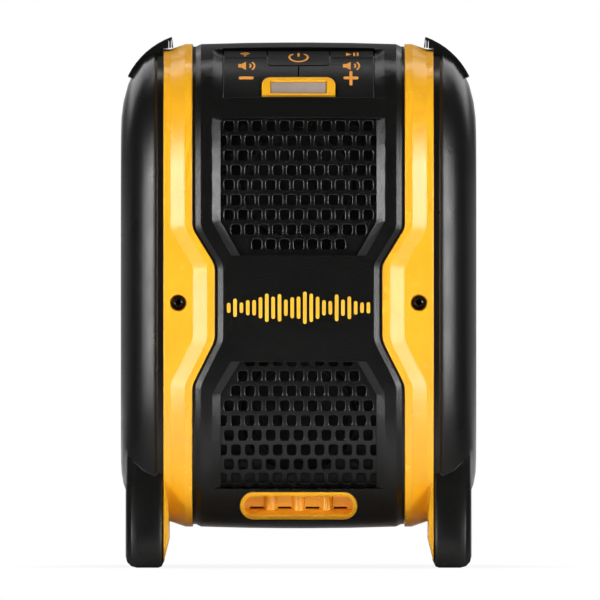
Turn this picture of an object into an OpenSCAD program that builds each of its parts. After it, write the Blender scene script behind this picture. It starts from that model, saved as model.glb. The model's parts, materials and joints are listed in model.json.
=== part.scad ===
// Upright job-site speaker: two moulded shells between rubber end bumpers, on four legs.
// Millimetres. Z is up, the front faces -Y, +X is to the right, and the feet stand at Z = 0.
// Heights called rise or drop are counted from the middle of the housing's side outline.

/* [Housing] */
// Height of the housing's side outline
body_h = 237; // [230:1:244]
// Clear height under the housing
body_lift = 19.5; // [18:0.5:22]
// Depth of the housing ahead of its parting line
front_d = 70; // [68:0.5:74]
// Depth of the housing behind its parting line
rear_d = 50; // [49:0.5:54]
// Width of the housing between the bumpers
housing_w = 132; // [131:1:138]
// Wall of the curved shells
skin_t = 2.5; // [2:0.1:3]
// Wall of the flat sides under the bumpers
side_t = 3.5; // [2.5:0.1:4.5]
// Thickness of the seal in the parting line
seal_t = 1; // [0.6:0.1:1.4]
// How far the side bands lie below the rim
band_drop = 2.5; // [1.5:0.1:3]
// Width of the raised rim beside the panel
rim_w = 3.5; // [2.5:0.1:4]
// Width of the slope from the rim down to the band
chamfer_w = 7.3; // [5:0.1:8]

/* [Panels] */
// Width of the panels at their wide ends
panel_w = 104; // [102:0.5:105]
// Width of the front panel at its waist
waist_w = 82; // [78:1:88]
// Rise of the upper shoulder, where the panel is wide again
upper_shoulder = 28; // [26:0.5:32]
// Rise of the upper end of the waist
upper_waist = 10; // [8:0.5:13]
// Drop of the lower end of the waist
lower_waist = 27; // [24:0.5:29]
// Drop of the lower shoulder
lower_shoulder = 49; // [46:0.5:52]
// Thickness of the panels
panel_t = 3.4; // [3:0.1:3.8]
// Width of the panel's flat lip
lip_w = 1.3; // [1:0.1:2]
// How far the lip lies below the panel's field
lip_drop = 1.2; // [0.8:0.1:1.5]
// Width of the slope between lip and field
facet_w = 2.6; // [2:0.1:3.5]
// Crown of the field across its width
panel_crown = 0.8; // [0.4:0.1:1.2]

/* [Windows and grilles] */
// Width of the windows inside their bevel
window_w = 76; // [74:0.5:77]
// Width of the windows at their narrow ends
window_neck_w = 57; // [52:0.5:62]
// Width of the bevel around the windows
window_bevel = 3.9; // [3:0.1:4.4]
// Depth of the bevel around the windows
bevel_depth = 1.7; // [1.4:0.1:2.4]
// Rise of the upper window's top edge
upper_window_top = 81.5; // [80:0.5:82]
// Rise at which the upper window starts to narrow
upper_window_side = 31.5; // [30:0.5:34]
// Rise of the upper window's foot
upper_window_foot = 14.5; // [13.5:0.5:17]
// Drop of the lower window's top edge
lower_window_top = 37.3; // [36:0.1:39]
// Drop at which the lower window has widened
lower_window_side = 53.5; // [51:0.5:56]
// Drop of the lower window's foot
lower_window_foot = 99.4; // [97:0.1:99.6]
// Thickness of the grille plates
grille_t = 2; // [1.5:0.1:2.4]
// How far a grille reaches past its window
grille_margin = 3; // [2:0.1:3.5]
// Width of a grille hole
hole_w = 4.7; // [4:0.1:5]
// Height of a grille hole
hole_h = 5; // [4.4:0.1:5.4]
// Corner radius of a grille hole
hole_r = 1.1; // [0.8:0.1:1.8]
// Spacing of the holes across
pitch_x = 6.8; // [6.4:0.1:7.4]
// Spacing of the hole rows along the curved face
pitch_z = 7.25; // [6.9:0.05:7.6]

/* [Controls] */
// Lean of the control deck from upright
deck_lean = 45; // [42:1:48]
// Width of the button cluster
deck_w = 73; // [71:0.5:75]
// Length of the button cluster up the slope
deck_h = 33; // [31:0.5:33.5]
// Depth of the pocket floor below the deck's highest point
deck_depth = 7; // [6.6:0.1:8]
// Thickness of the pocket floor
deck_floor = 2; // [1.6:0.1:2.6]
// Gap between neighbouring buttons
button_gap = 0.6; // [0.5:0.05:0.8]
// How far the button tops lie below the panel's field
button_sink = 1; // [0.6:0.1:1.2]
// Travel of the buttons
button_travel = 1; // [0.6:0.1:1.2]
// Width of the power button
power_w = 30; // [26:0.5:32]
// Length of the power button up the slope
power_h = 14.6; // [13:0.1:15.5]
// Length of the two small buttons up the slope
small_h = 8.3; // [7.5:0.1:9]
// Width of the indicator bezel
bezel_w = 36; // [33:0.5:38]
// Length of the indicator bezel up the slope
bezel_h = 9.3; // [9:0.1:10.5]
// Width of the indicator lens
lens_w = 27.4; // [24:0.2:29]
// Length of the indicator lens up the slope
lens_h = 6.4; // [5.5:0.1:6.8]
// Radius of the button stems
stem_r = 2; // [1.6:0.1:2.2]

/* [Bumpers and legs] */
// How far a bumper stands out from the housing's side
bumper_t = 21; // [20:0.5:24]
// Wall of the bumpers
bumper_wall = 3; // [2.5:0.1:3.5]
// Rounding of the bumpers, seen from above
bumper_round = 20; // [18:0.5:20]
// Rounding of the bumpers at their top, seen from the front
bumper_shoulder = 38; // [34:0.5:42]
// Rounding of the bumpers at their foot, seen from the front
bumper_hip = 27; // [24:0.5:32]
// Width of the flat lip beside the housing
bumper_lip_w = 3; // [2:0.1:4]
// How far the lip lies below the housing's rim
bumper_lip_drop = 4.6; // [4:0.1:5]
// Radius of the raised pad on the bumper's shoulder
pad_r = 38.6; // [37.5:0.1:39]
// Length of the raised pad
pad_len = 62; // [54:1:66]
// Thickness of the legs
leg_t = 18.5; // [17:0.5:19]
// Length of each foot
foot_len = 27; // [24:0.5:30]
// Distance from the middle to the front of the feet
leg_reach = 57; // [55:0.5:58]
// Thickness of the leg plates inside the bumpers' legs
leg_plate_t = 2.5; // [2:0.1:3]

/* [Bass port] */
// Width of the bass port
port_w = 57.2; // [52:0.2:60]
// Height of the bass port
port_h = 13.6; // [12.6:0.1:13.8]
// Drop of the bass port's centre
port_drop = 107.9; // [107.6:0.1:108.4]
// Depth of the bass port
port_depth = 13; // [12:0.5:18]
// Wall of the bass port
port_wall = 2; // [1.6:0.1:2.2]
// Spacing of the port's ribs
port_rib_pitch = 13.7; // [12:0.1:14]
// Radius of the port's ribs
port_rib_r = 3; // [2.4:0.1:3.4]

/* [Drivers] */
// Rise of the upper driver's centre
upper_driver_rise = 49; // [48.5:0.1:49.4]
// Drop of the lower driver's centre
lower_driver_drop = 63; // [61:0.5:64]
// Side of a driver's square flange
driver_side = 62; // [60:0.5:62]
// Radius of a driver's opening
driver_r = 28.5; // [27:0.1:28.7]
// Outer radius of the cones
cone_r = 23.6; // [22:0.1:24]
// Thickness of the baffle
baffle_t = 3; // [2.5:0.1:4]
// Depth of the baffle behind the housing's front
baffle_depth = 18.5; // [17.5:0.1:19.5]

/* [Rear] */
// Width of the battery bay
bay_w = 82; // [78:0.5:84]
// Rise of the battery bay's top
bay_top = 54; // [48:1:56]
// Drop of the battery bay's foot
bay_foot = 88; // [84:1:89]
// Depth of the battery bay
bay_depth = 25; // [20:0.5:26]
// Width of each battery rail
rail_w = 10; // [8:0.5:12]
// Width of the socket pocket
pocket_w = 61; // [56:0.5:64]
// Rise of the socket pocket's foot
pocket_foot = 68.2; // [67:0.1:69]
// Rise of the port cover's hinge
hinge_rise = 86.4; // [85.5:0.1:87]
// Radius of the port cover's hinge pins
pin_r = 1.2; // [1:0.05:1.4]
// Radius of the audio jack's bore
audio_r = 1.8; // [1.75:0.05:1.9]

/* [Fasteners] */
// Shank radius of the housing screws
screw_r = 1.5; // [1.3:0.05:1.7]
// Head radius of the housing screws
screw_head_r = 3.5; // [3:0.1:3.7]
// Shank radius of the board screws
board_screw_r = 1.1; // [0.9:0.05:1.25]

/* [Hidden] */

$fn = 48;

yellow_plastic = [0.98, 0.72, 0.14];
black_plastic = [0.12, 0.12, 0.11];
rubber = [0.17, 0.17, 0.16];
steel = [0.72, 0.73, 0.75];
dark_steel = [0.35, 0.35, 0.37];
board_green = [0.1, 0.35, 0.2];
lens_grey = [0.66, 0.62, 0.58];
paper_black = [0.18, 0.18, 0.2];
copper = [0.75, 0.45, 0.25];

// Clearances between pieces
seat_gap = 0.2;
fit_gap = 0.3;
pin_gap = 0.15;
screw_gap = 0.1;

// Side outline
squareness = 4;
mid_y = (front_d + panel_crown - rear_d - seal_t) / 2;
mid_z = body_lift + body_h / 2;
// Rises and drops are drawn at this body height, and stretch with it
drawn_h = 237;
tall = body_h / drawn_h;
function high(rise) = mid_z + rise * tall;
angle_step = 6;
corner_soft = 2.2;

// Levels below the side outline
seat_drop = panel_t + seat_gap;
skin_drop = seat_drop + skin_t;
side_drop = band_drop + 0.5;
grille_drop = panel_t + seat_gap / 2;
pocket_cap = 1.7;

front_most = mid_y - front_d;
rear_most = mid_y + seal_t + rear_d;
inner_half = housing_w / 2 - side_t;

function sign_pow(v, e) = sign(v) * pow(abs(v), e);

function half_depth(c) = c < 0 ? front_d : rear_d;

function unit_point(a) = [sign_pow(cos(a), 2 / squareness), sign_pow(sin(a), 2 / squareness)];

// Point of the side outline, as y and z; the angle runs from the rear over the top to the front
function side_point(a, grow = 0, rise = undef, back = undef) =
    let (
        q = unit_point(a),
        up = is_undef(rise) ? grow : rise,
        shift = is_undef(back) ? (q[0] > 0 ? seal_t : 0) : back
    )
    [mid_y + shift + (half_depth(q[0]) + grow) * q[0], mid_z + (body_h / 2 + up) * q[1]];

// Angle at which the front of the outline has a given height
function front_angle(z) =
    let (u = (z - mid_z) / (body_h / 2))
    180 - asin(sign_pow(u, squareness / 2));

// Share of the half depth that is left at a given height
function depth_share(z, grow) =
    pow(1 - pow(abs(z - mid_z) / (body_h / 2 + grow), squareness), 1 / squareness);

function front_y(z, grow = 0) = mid_y - (front_d + grow) * depth_share(z, grow);

function rear_y(z, grow = 0) = mid_y + seal_t + (rear_d + grow) * depth_share(z, grow);

// Height of the lower half of the outline at a given depth of the front
function foot_z(y, grow) =
    mid_z - (body_h / 2 + grow)
    * pow(1 - pow(abs(y - mid_y) / (front_d + grow), squareness), 1 / squareness);

// Cosine of the front face's lean at a given height
function lean_cos(z) =
    let (
        u = (z - mid_z) / (body_h / 2),
        slope = front_d / (body_h / 2) * pow(abs(u) / depth_share(z, 0), squareness - 1)
    )
    1 / sqrt(1 + slope * slope);

function sorted(v) =
    len(v) < 2 ? v : let (
        low = [for (x = v) if (x < v[0]) x],
        high = [for (x = v) if (x > v[0]) x]
    )
    concat(sorted(low), [v[0]], sorted(high));

function is_near(a, list, gap) = len([for (b = list) if (abs(a - b) < gap) b]) > 0;

// Angles from one end to the other, with those of the corners put in
function stations(from, to, corners) =
    sorted(concat(
        corners,
        [for (a = [from : angle_step : to]) if (!is_near(a, corners, angle_step / 4)) a]
    ));

// Half width of the front panel at a height
panel_knots = [
    [high(-lower_shoulder), panel_w / 2],
    [high(-lower_waist), waist_w / 2],
    [high(upper_waist), waist_w / 2],
    [high(upper_shoulder), panel_w / 2]
];
function panel_half(z) =
    (lookup(z - corner_soft, panel_knots) + 2 * lookup(z, panel_knots)
    + lookup(z + corner_soft, panel_knots)) / 4;

corner_angles = [
    for (knot = panel_knots, s = [-corner_soft, 0, corner_soft]) front_angle(knot[0] + s)
];
front_angles = stations(90, 270, corner_angles);
front_halves = [for (a = front_angles) panel_half(side_point(a)[1])];
rear_angles = stations(-90, 90, []);
rear_halves = [for (a = rear_angles) panel_w / 2];

// Cross lines of the shells: x and the level above the side outline
function mirrored(line) =
    concat(line, [for (i = [len(line) - 1 : -1 : 0]) [-line[i][0], line[i][1]]]);

function housing_outer(half) = mirrored([
    [-housing_w / 2, -band_drop],
    [-half - rim_w - chamfer_w, -band_drop],
    [-half - rim_w, 0],
    [-half, 0],
    [-half, -seat_drop]
]);

function housing_inner(half) = mirrored([
    [-housing_w / 2, -skin_drop],
    [-half - rim_w - chamfer_w, -skin_drop],
    [-half - rim_w, -skin_drop],
    [-half - rim_w / 2, -skin_drop],
    [-half + rim_w / 2, -skin_drop]
]);

function panel_line(half, lip, field, middle) =
    let (edge = half - fit_gap)
    mirrored([
        [-edge, lip],
        [-edge + lip_w, lip],
        [-edge + lip_w + facet_w, field],
        [-edge / 2, (field + 3 * middle) / 4],
        [-edge / 8, middle]
    ]);

// Grid of points: one row for each angle, one column for each point of the cross lines
function grid(angles, lines, back) = [
    for (i = [0 : len(angles) - 1]) [
        for (p = lines[i]) let (q = side_point(angles[i], p[1], back = back)) [p[0], q[0], q[1]]
    ]
];

function quad(a, b, c, d) = [[a, b, c], [a, c, d]];

// Solid between two grids of the same size
module sheet(outer, inner) {
    rows = len(outer);
    cols = len(outer[0]);
    under = rows * cols;
    function at(i, j) = i * cols + j;
    last_row = rows - 1;
    last_col = cols - 1;
    faces = concat(
        [for (i = [0 : rows - 2], j = [0 : cols - 2]) each concat(
            quad(at(i, j), at(i, j + 1), at(i + 1, j + 1), at(i + 1, j)),
            quad(under + at(i, j), under + at(i + 1, j), under + at(i + 1, j + 1), under + at(i, j + 1))
        )],
        [for (i = [0 : rows - 2]) each concat(
            quad(at(i, 0), at(i + 1, 0), under + at(i + 1, 0), under + at(i, 0)),
            quad(at(i, last_col), under + at(i, last_col), under + at(i + 1, last_col), at(i + 1, last_col))
        )],
        [for (j = [0 : cols - 2]) each concat(
            quad(at(0, j), under + at(0, j), under + at(0, j + 1), at(0, j + 1)),
            quad(at(last_row, j), at(last_row, j + 1), under + at(last_row, j + 1), under + at(last_row, j))
        )]
    );
    points = concat([for (row = outer) each row], [for (row = inner) each row]);
    polyhedron(points, faces);
}

// Cup between two grids whose rows are closed rings, with a tip on each
module cup(outer, inner, outer_tip, inner_tip) {
    rows = len(outer);
    cols = len(outer[0]);
    under = rows * cols;
    tip = 2 * under;
    end = rows - 1;
    function at(i, j) = i * cols + j % cols;
    faces = concat(
        [for (i = [0 : rows - 2], j = [0 : cols - 1]) each concat(
            quad(at(i, j), at(i + 1, j), at(i + 1, j + 1), at(i, j + 1)),
            quad(under + at(i, j), under + at(i, j + 1), under + at(i + 1, j + 1), under + at(i + 1, j))
        )],
        [for (j = [0 : cols - 1]) each concat(
            quad(at(0, j), at(0, j + 1), under + at(0, j + 1), under + at(0, j)),
            [[at(end, j + 1), at(end, j), tip]],
            [[under + at(end, j), under + at(end, j + 1), tip + 1]]
        )]
    );
    points = concat(
        [for (row = outer) each row], [for (row = inner) each row], [outer_tip, inner_tip]
    );
    polyhedron(points, faces);
}

// Prisms of a flat outline: across the width, and along the depth
module across(x0, x1) {
    translate([x0, 0, 0]) rotate([90, 0, 90]) linear_extrude(x1 - x0) children();
}

module along(y0, y1) {
    translate([0, y1, 0]) rotate([90, 0, 0]) linear_extrude(y1 - y0) children();
}

module rod_along(x, z, y0, y1, r) {
    translate([x, y0, z]) rotate([-90, 0, 0]) cylinder(h = y1 - y0, r = r);
}

module rod_across(y, z, x0, x1, r) {
    translate([x0, y, z]) rotate([0, 90, 0]) cylinder(h = x1 - x0, r = r);
}

module block(x, y, z) {
    translate([x[0], y[0], z[0]]) cube([x[1] - x[0], y[1] - y[0], z[1] - z[0]]);
}

module both_sides() {
    children();
    mirror([1, 0, 0]) children();
}

// Prism of the side outline, for cutting pieces to the body's curve
outline_step = 3;
module outline_prism(grow, half) {
    across(-half, half) polygon([for (a = [0 : outline_step : 360 - outline_step]) side_point(a, grow)]);
}

module half_outline(angles, grow, back) {
    polygon([for (a = angles) side_point(a, grow, back = back)]);
}

// Housing shells

module housing_shell(angles, halves, back) {
    sheet(
        grid(angles, [for (h = halves) housing_outer(h)], back),
        grid(angles, [for (h = halves) housing_inner(h)], back)
    );
    both_sides() across(inner_half, housing_w / 2 - 0.1) half_outline(angles, -side_drop, back);
}

// Outline of a front leg, in y and z, drawn in by an inset
leg_slope_y = leg_reach - 17;
leg_slope_z = body_lift + 42.5;
leg_knee = body_lift + 16.5;
foot_round = 5;
function leg_outline(inset) = [
    [-leg_slope_y + inset, leg_slope_z],
    [-leg_reach + foot_round + inset, leg_knee],
    [-leg_reach + 1 + inset, body_lift + 2.5],
    [-leg_reach + inset, foot_round + 3 + inset],
    [-leg_reach + 2 + inset, inset],
    [-leg_reach + 2 + foot_len - inset, inset],
    [-leg_reach + foot_len + foot_round - inset, foot_round + inset],
    [-leg_reach + foot_len + 2 * foot_round - inset, body_lift + 6],
    [-leg_reach + foot_len + 3 * foot_round - inset, leg_slope_z]
];

leg_plate_inset = 1.8;
leg_plate_tip = 3.5;
leg_plate_taper = 10;
leg_plate_top = body_lift + 25;
leg_plate_edge = 0.6;
leg_plate_slope = 18;
module leg_plate() {
    outer = housing_w / 2;
    both_sides() intersection() {
        across(outer - leg_plate_t, outer) polygon(leg_outline(leg_plate_inset));
        along(-leg_reach, 0) polygon([
            [outer, leg_plate_tip], [outer, leg_plate_top], [outer - leg_plate_edge, leg_plate_top],
            [outer - leg_plate_t, leg_plate_top - leg_plate_slope],
            [outer - leg_plate_t, leg_plate_tip + leg_plate_taper]
        ]);
    }
}

// Screw places
front_screw_x = housing_w / 2 - 7.2;
front_screw_drop = 8.5;
front_screw_z = high(-front_screw_drop);
front_screw_seat = 4.4;
band_y = front_y(front_screw_z, -band_drop);
front_seat_y = band_y + front_screw_seat;
collar_end_y = front_seat_y + 4.6;
front_screw_len = 12.5;
front_boss_r = inner_half - front_screw_x - fit_gap;
screw_head_h = 3;

rear_screw_x = bay_w / 2 + 6;
bay_z = [high(-bay_foot), high(bay_top)];
rear_screw_under = 10;
rear_screw_over = 13;
rear_screw_zs = bay_z + [-rear_screw_under, rear_screw_over];
rear_boss_r = screw_head_r + 1.8;
rear_seat_y = mid_y + seal_t + 6;
rear_screw_len = 22;

bumper_screw_ys = [-28, 36];
bumper_screw_rises = [-63, 62];
bumper_screw_zs = [for (rise = bumper_screw_rises) high(rise)];
bumper_screw_len = 13;
bumper_boss_r = 4.5;
boss_sink = 0.8;

module rear_screw_spots() {
    for (x = [-rear_screw_x, rear_screw_x], z = rear_screw_zs) translate([x, 0, z]) children();
}

module bumper_screw_holes() {
    for (y = bumper_screw_ys, z = bumper_screw_zs)
        both_sides() rod_across(y, z, inner_half - 1, housing_w / 2 + 1, screw_r + screw_gap);
}

// Windows: six-sided, wide at one end and narrow at the other
function window_points(wide, side, neck, grow) =
    let (s = sign(wide - neck), w = window_w / 2 + grow, n = window_neck_w / 2 + grow)
    [
        [-n, mid_z + neck - s * grow], [n, mid_z + neck - s * grow],
        [w, mid_z + side - s * grow], [w, mid_z + wide + s * grow],
        [-w, mid_z + wide + s * grow], [-w, mid_z + side - s * grow]
    ];
upper_window = tall * [upper_window_top, upper_window_side, upper_window_foot];
lower_window = -tall * [lower_window_foot, lower_window_side, lower_window_top];

module window_prism(w, grow) {
    along(front_most - 5, mid_y) polygon(window_points(w[0], w[1], w[2], grow));
}

function window_half(w, z) =
    lookup(z, w[0] > w[2]
        ? [[mid_z + w[2], window_neck_w / 2], [mid_z + w[1], window_w / 2]]
        : [[mid_z + w[1], window_w / 2], [mid_z + w[2], window_neck_w / 2]]);

// Sloping sides of a window, following the curved face
window_steps = 4;
bevel_over = 0.6;
module window_bevel_cut(w) {
    heights = sorted(concat(
        [for (i = [0 : window_steps]) mid_z + w[1] + (w[0] - w[1]) * i / window_steps],
        [mid_z + w[2]]
    ));
    rows = [for (i = [len(heights) - 1 : -1 : 0]) heights[i]];
    angles = [for (z = rows) front_angle(z)];
    over = panel_crown + bevel_over;
    wide = window_bevel * (bevel_depth + over) / bevel_depth;
    sheet(
        grid(angles, [for (z = rows) let (h = window_half(w, z) + wide) [[-h, over], [h, over]]], 0),
        grid(angles, [for (z = rows) let (h = window_half(w, z)) [[-h, -bevel_depth], [h, -bevel_depth]]], 0)
    );
}

// Bass port place
port_z = high(-port_drop);
module stadium(w, h) {
    translate([0, port_z]) {
        square([w - h, h], center = true);
        for (s = [-1, 1]) translate([s * (w - h) / 2, 0]) circle(d = h);
    }
}

port_flange = 2.5;
port_back_y = front_y(port_z) + port_depth;
module port_prism(grow) {
    along(front_most - 5, port_back_y + 6) stadium(port_w + 2 * grow, port_h + 2 * grow);
}

// Control deck: its frame has y up the slope and z out of the face
deck_ratio = pow(tan(deck_lean) * front_d / (body_h / 2), 1 / (squareness - 1));
deck_angle = 180 - atan(pow(deck_ratio, -squareness / 2));
deck_point = side_point(deck_angle, 0);
module deck() {
    translate([0, deck_point[0], deck_point[1]]) rotate([deck_lean, 0, 0]) children();
}

function deck_angle_at(v) =
    let (
        p = deck_point + v * [cos(deck_lean), sin(deck_lean)],
        c = (p[0] - mid_y) / front_d,
        s = (p[1] - mid_z) / (body_h / 2)
    )
    180 - atan(pow(abs(s / c), squareness / 2));

pocket_wall = 2;
deck_room = button_gap;
deck_half = deck_w / 2;
deck_end = deck_h / 2;
deck_bevel = 4.4;
deck_steps = 6;
deck_recess = 1.5;
module deck_bevel_cut() {
    from = deck_angle_at(deck_end + deck_room);
    to = deck_angle_at(-deck_end - deck_room);
    angles = [for (i = [0 : deck_steps]) from + (to - from) * i / deck_steps];
    inner = deck_half + deck_room;
    over = panel_crown + 0.4;
    outer = inner + deck_bevel * (deck_recess + over) / deck_recess;
    sheet(
        grid(angles, [for (a = angles) [[-outer, over], [outer, over]]], 0),
        grid(angles, [for (a = angles) [[-inner, -deck_recess], [inner, -deck_recess]]], 0)
    );
}

module deck_box(grow, z0, z1) {
    w = deck_half + deck_room + grow;
    h = deck_end + deck_room + grow;
    deck() block([-w, w], [-h, h], [z0, z1]);
}

// Button outlines on the deck
power_foot = deck_end - power_h;
small_foot = deck_end - small_h;
small_edge = power_w / 2 + button_gap;
bezel_top = -deck_end + bezel_h;
bezel_r = 4.5;
power_corner_r = 2;

module power_outline(grow) {
    w = power_w / 2 + grow;
    r = power_corner_r + grow;
    translate([-w, power_foot + power_corner_r]) square([2 * w, deck_end - power_foot - power_corner_r]);
    translate([-w + r, power_foot - grow]) square([2 * (w - r), 2 * r]);
    for (s = [-1, 1]) translate([s * (w - r), power_foot + power_corner_r]) circle(r);
}

module bezel_outline(grow) {
    w = bezel_w / 2 + grow;
    r = bezel_r + grow;
    translate([-w, -deck_end]) square([2 * w, bezel_h - bezel_r]);
    translate([-w + r, -deck_end]) square([2 * (w - r), bezel_h + grow]);
    for (s = [-1, 1]) translate([s * (w - r), bezel_top - bezel_r]) circle(r);
}

module volume_outline() {
    difference() {
        translate([button_gap / 2, -deck_end])
            square([deck_half - button_gap / 2, deck_h - small_h - button_gap]);
        power_outline(button_gap);
        bezel_outline(button_gap);
    }
}

module small_outline() {
    translate([small_edge, small_foot]) square([deck_half - small_edge, small_h]);
}

lens_foot = -deck_end + 0.8;
light_slot = [18, 3];
module lens_outline(grow) {
    translate([-lens_w / 2 - grow, lens_foot - grow]) square([lens_w + 2 * grow, lens_h + 2 * grow]);
}

volume_spot = [deck_half - 11.5, -4.5];
power_spot = [0, power_foot + power_h / 2];
small_spot = [(small_edge + deck_half) / 2, small_foot + small_h / 2];
stem_spots = [
    [-volume_spot[0], volume_spot[1]], volume_spot, power_spot, [-small_spot[0], small_spot[1]], small_spot
];

cap_base = deck_depth - button_travel - fit_gap;
barb_r = stem_r + 1;
barb_h = 1.2;
barb_top = deck_depth + deck_floor + fit_gap;
stem_end = barb_top + barb_h + 0.4;
switch_top = stem_end + button_travel + fit_gap;
switch_h = 3.5;
board_top = switch_top + switch_h;
board_t = 1.6;
control_end = deck_end - 0.5;

module button(spot) {
    intersection() {
        deck() translate([0, 0, -cap_base]) linear_extrude(2 * cap_base) children();
        outline_prism(-button_sink, deck_half + 1);
    }
    deck() translate([spot[0], spot[1], 0]) {
        translate([0, 0, -stem_end]) cylinder(h = stem_end - cap_base + 1, r = stem_r);
        translate([0, 0, -barb_top - barb_h]) cylinder(h = barb_h, r = barb_r);
    }
}

// Boards and their bosses
board_boss_r = 2.7;
control_boss_spots = [for (x = [-1, 1], v = [-1, 1]) [x * (deck_half - 3), v * (deck_end - 3.5)]];
board_head_h = 1.6;
board_head_r = 2.1;
board_screw_len = 5;

module control_bosses() {
    deck() for (p = control_boss_spots) translate([p[0], p[1], -board_top])
        cylinder(h = board_top - deck_depth - deck_floor + 0.5, r = board_boss_r);
}

module control_boss_bores() {
    deck() for (p = control_boss_spots) translate([p[0], p[1], -board_top - 0.1])
        cylinder(h = board_screw_len, r = board_screw_r + screw_gap);
}

bay_floor_y = rear_most - bay_depth;
bay_wall = 2.5;
post_len = 7.5;
main_board_y = bay_floor_y - bay_wall - post_len - board_t;
main_board_x = 38;
board_foot_in = 24;
board_head_in = 12;
main_board_z = [bay_z[0] + board_foot_in, bay_z[1] - board_head_in];
post_in = 4;
post_r = 3.2;
post_spots = [
    for (s = [-1, 1], z = main_board_z + post_in * [1, -1]) [s * (main_board_x - post_in), z]
];

// Baffle place
baffle_y = front_most + baffle_depth;
baffle_back_y = baffle_y + baffle_t;
baffle_half = inner_half - fit_gap;
baffle_foot = foot_z(baffle_y, -skin_drop - fit_gap) + fit_gap;
baffle_edge = 3;
baffle_clear = 0.9;
control_low = deck_point[1] - control_end * sin(deck_lean) - (board_top + board_t) * cos(deck_lean);
driver_reach = driver_side / 2 + baffle_edge;
upper_driver_z = min(high(upper_driver_rise), control_low - baffle_clear - driver_reach);
lower_driver_z = max(high(-lower_driver_drop), baffle_foot + driver_reach);
baffle_top = upper_driver_z + driver_reach;
baffle_lip_t = 2.6;
driver_zs = [lower_driver_z, upper_driver_z];
driver_hole_in = 4.5;
driver_hole = driver_side / 2 - driver_hole_in;
driver_boss_r = 3.4;
driver_boss_len = 3;

module driver_hole_spots() {
    for (x = [-driver_hole, driver_hole], z = [-driver_hole, driver_hole]) translate([x, 0, z]) children();
}

module front_housing() {
    color(yellow_plastic) difference() {
        union() {
            housing_shell(front_angles, front_halves, 0);
            leg_plate();
            both_sides() rod_along(front_screw_x, front_screw_z, band_y + 1, collar_end_y, 6.2);
            rear_screw_spots() {
                rod_along(0, 0, mid_y - 24, mid_y, screw_r + 2.6);
                rib = inner_half - rear_screw_x + 1;
                both_sides() block([0, rib], [mid_y - 24, mid_y - 3], [-1, 1]);
            }
        }
        window_prism(upper_window, grille_margin + fit_gap);
        window_prism(lower_window, grille_margin + fit_gap);
        port_prism(port_flange + fit_gap);
        deck_box(pocket_wall + fit_gap, -40, 20);
        both_sides() {
            rod_along(front_screw_x, front_screw_z, front_most - 5, front_seat_y, screw_head_r + 0.5);
            rod_along(front_screw_x, front_screw_z, front_most, collar_end_y + 1, screw_r + screw_gap);
        }
        rear_screw_spots() rod_along(0, 0, mid_y - 22, mid_y + 1, screw_r + screw_gap);
        bumper_screw_holes();
    }
}

module rear_housing() {
    color(yellow_plastic) difference() {
        union() {
            housing_shell(rear_angles, rear_halves, seal_t);
            mirror([0, 1, 0]) leg_plate();
            intersection() {
                rear_screw_spots() rod_along(0, 0, mid_y + seal_t, rear_most, rear_boss_r);
                outline_prism(-seat_drop - 0.5, housing_w / 2);
            }
        }
        bay_room = bay_wall + fit_gap;
        window_x = bay_w / 2 + bay_room;
        block([-window_x, window_x], [bay_floor_y - 10, rear_most + 5], bay_z + [-1, 1] * bay_room);
        pocket_box(pocket_wall + fit_gap, pocket_floor_y - 20);
        rear_screw_spots() {
            rod_along(0, 0, rear_seat_y, rear_most + 5, screw_head_r + 0.3);
            rod_along(0, 0, mid_y, rear_seat_y + 1, screw_r + screw_gap);
        }
        bumper_screw_holes();
    }
}

module housing_seal() {
    outer = inner_half + side_t - 1;
    inner = inner_half + 0.5;
    color(rubber) along(mid_y, mid_y + seal_t) difference() {
        translate([-outer, mid_z - body_h / 2 + seat_drop + 0.4])
            square([2 * outer, body_h - 2 * seat_drop - 0.8]);
        translate([-inner, mid_z - body_h / 2 + skin_drop])
            square([2 * inner, body_h - 2 * skin_drop]);
    }
}

module panel_shell(angles, halves, back, crown) {
    sheet(
        grid(angles, [for (h = halves) panel_line(h, -lip_drop, 0, crown)], back),
        grid(angles, [for (h = halves) panel_line(h, -panel_t, -panel_t, -panel_t)], back)
    );
}

module front_panel() {
    color(black_plastic) difference() {
        union() {
            panel_shell(front_angles, front_halves, 0, panel_crown);
            intersection() {
                deck_box(pocket_wall, -deck_depth - deck_floor, 5);
                outline_prism(-pocket_cap, panel_w / 2);
            }
            control_bosses();
        }
        window_bevel_cut(upper_window);
        window_prism(upper_window, 0);
        window_bevel_cut(lower_window);
        window_prism(lower_window, 0);
        port_prism(fit_gap);
        deck_bevel_cut();
        deck_box(0, -deck_depth, 20);
        deck() {
            for (p = stem_spots) translate([p[0], p[1], -deck_depth - deck_floor - 1])
                cylinder(h = deck_floor + 2, r = stem_r + fit_gap);
            translate([0, lens_foot + lens_h / 2, -deck_depth])
                cube([light_slot[0], light_slot[1], 3 * deck_floor], center = true);
        }
        control_boss_bores();
    }
}

// Rounded rectangle by its corner arcs
arc_steps = 2;
function rounded_points(w, h, r) = [
    for (k = [0 : 3], i = [0 : arc_steps])
        let (
            a = 90 * k + 90 * i / arc_steps,
            sx = (k == 0 || k == 3) ? 1 : -1,
            sy = k < 2 ? 1 : -1
        )
        [sx * (w / 2 - r) + r * cos(a), sy * (h / 2 - r) + r * sin(a)]
];

// Heights of hole rows, spaced evenly along the curved face
function row_heights(z, step, n) =
    n == 0 ? [] : concat([z], row_heights(z + step * lean_cos(z), step, n - 1));

// Half width of the perforated field at a height
function field_half(w, taper, z) =
    let (s = sign(w[0] - w[2]))
    window_w / 2 - taper * max(0, s * (mid_z + w[1] - z));

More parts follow.
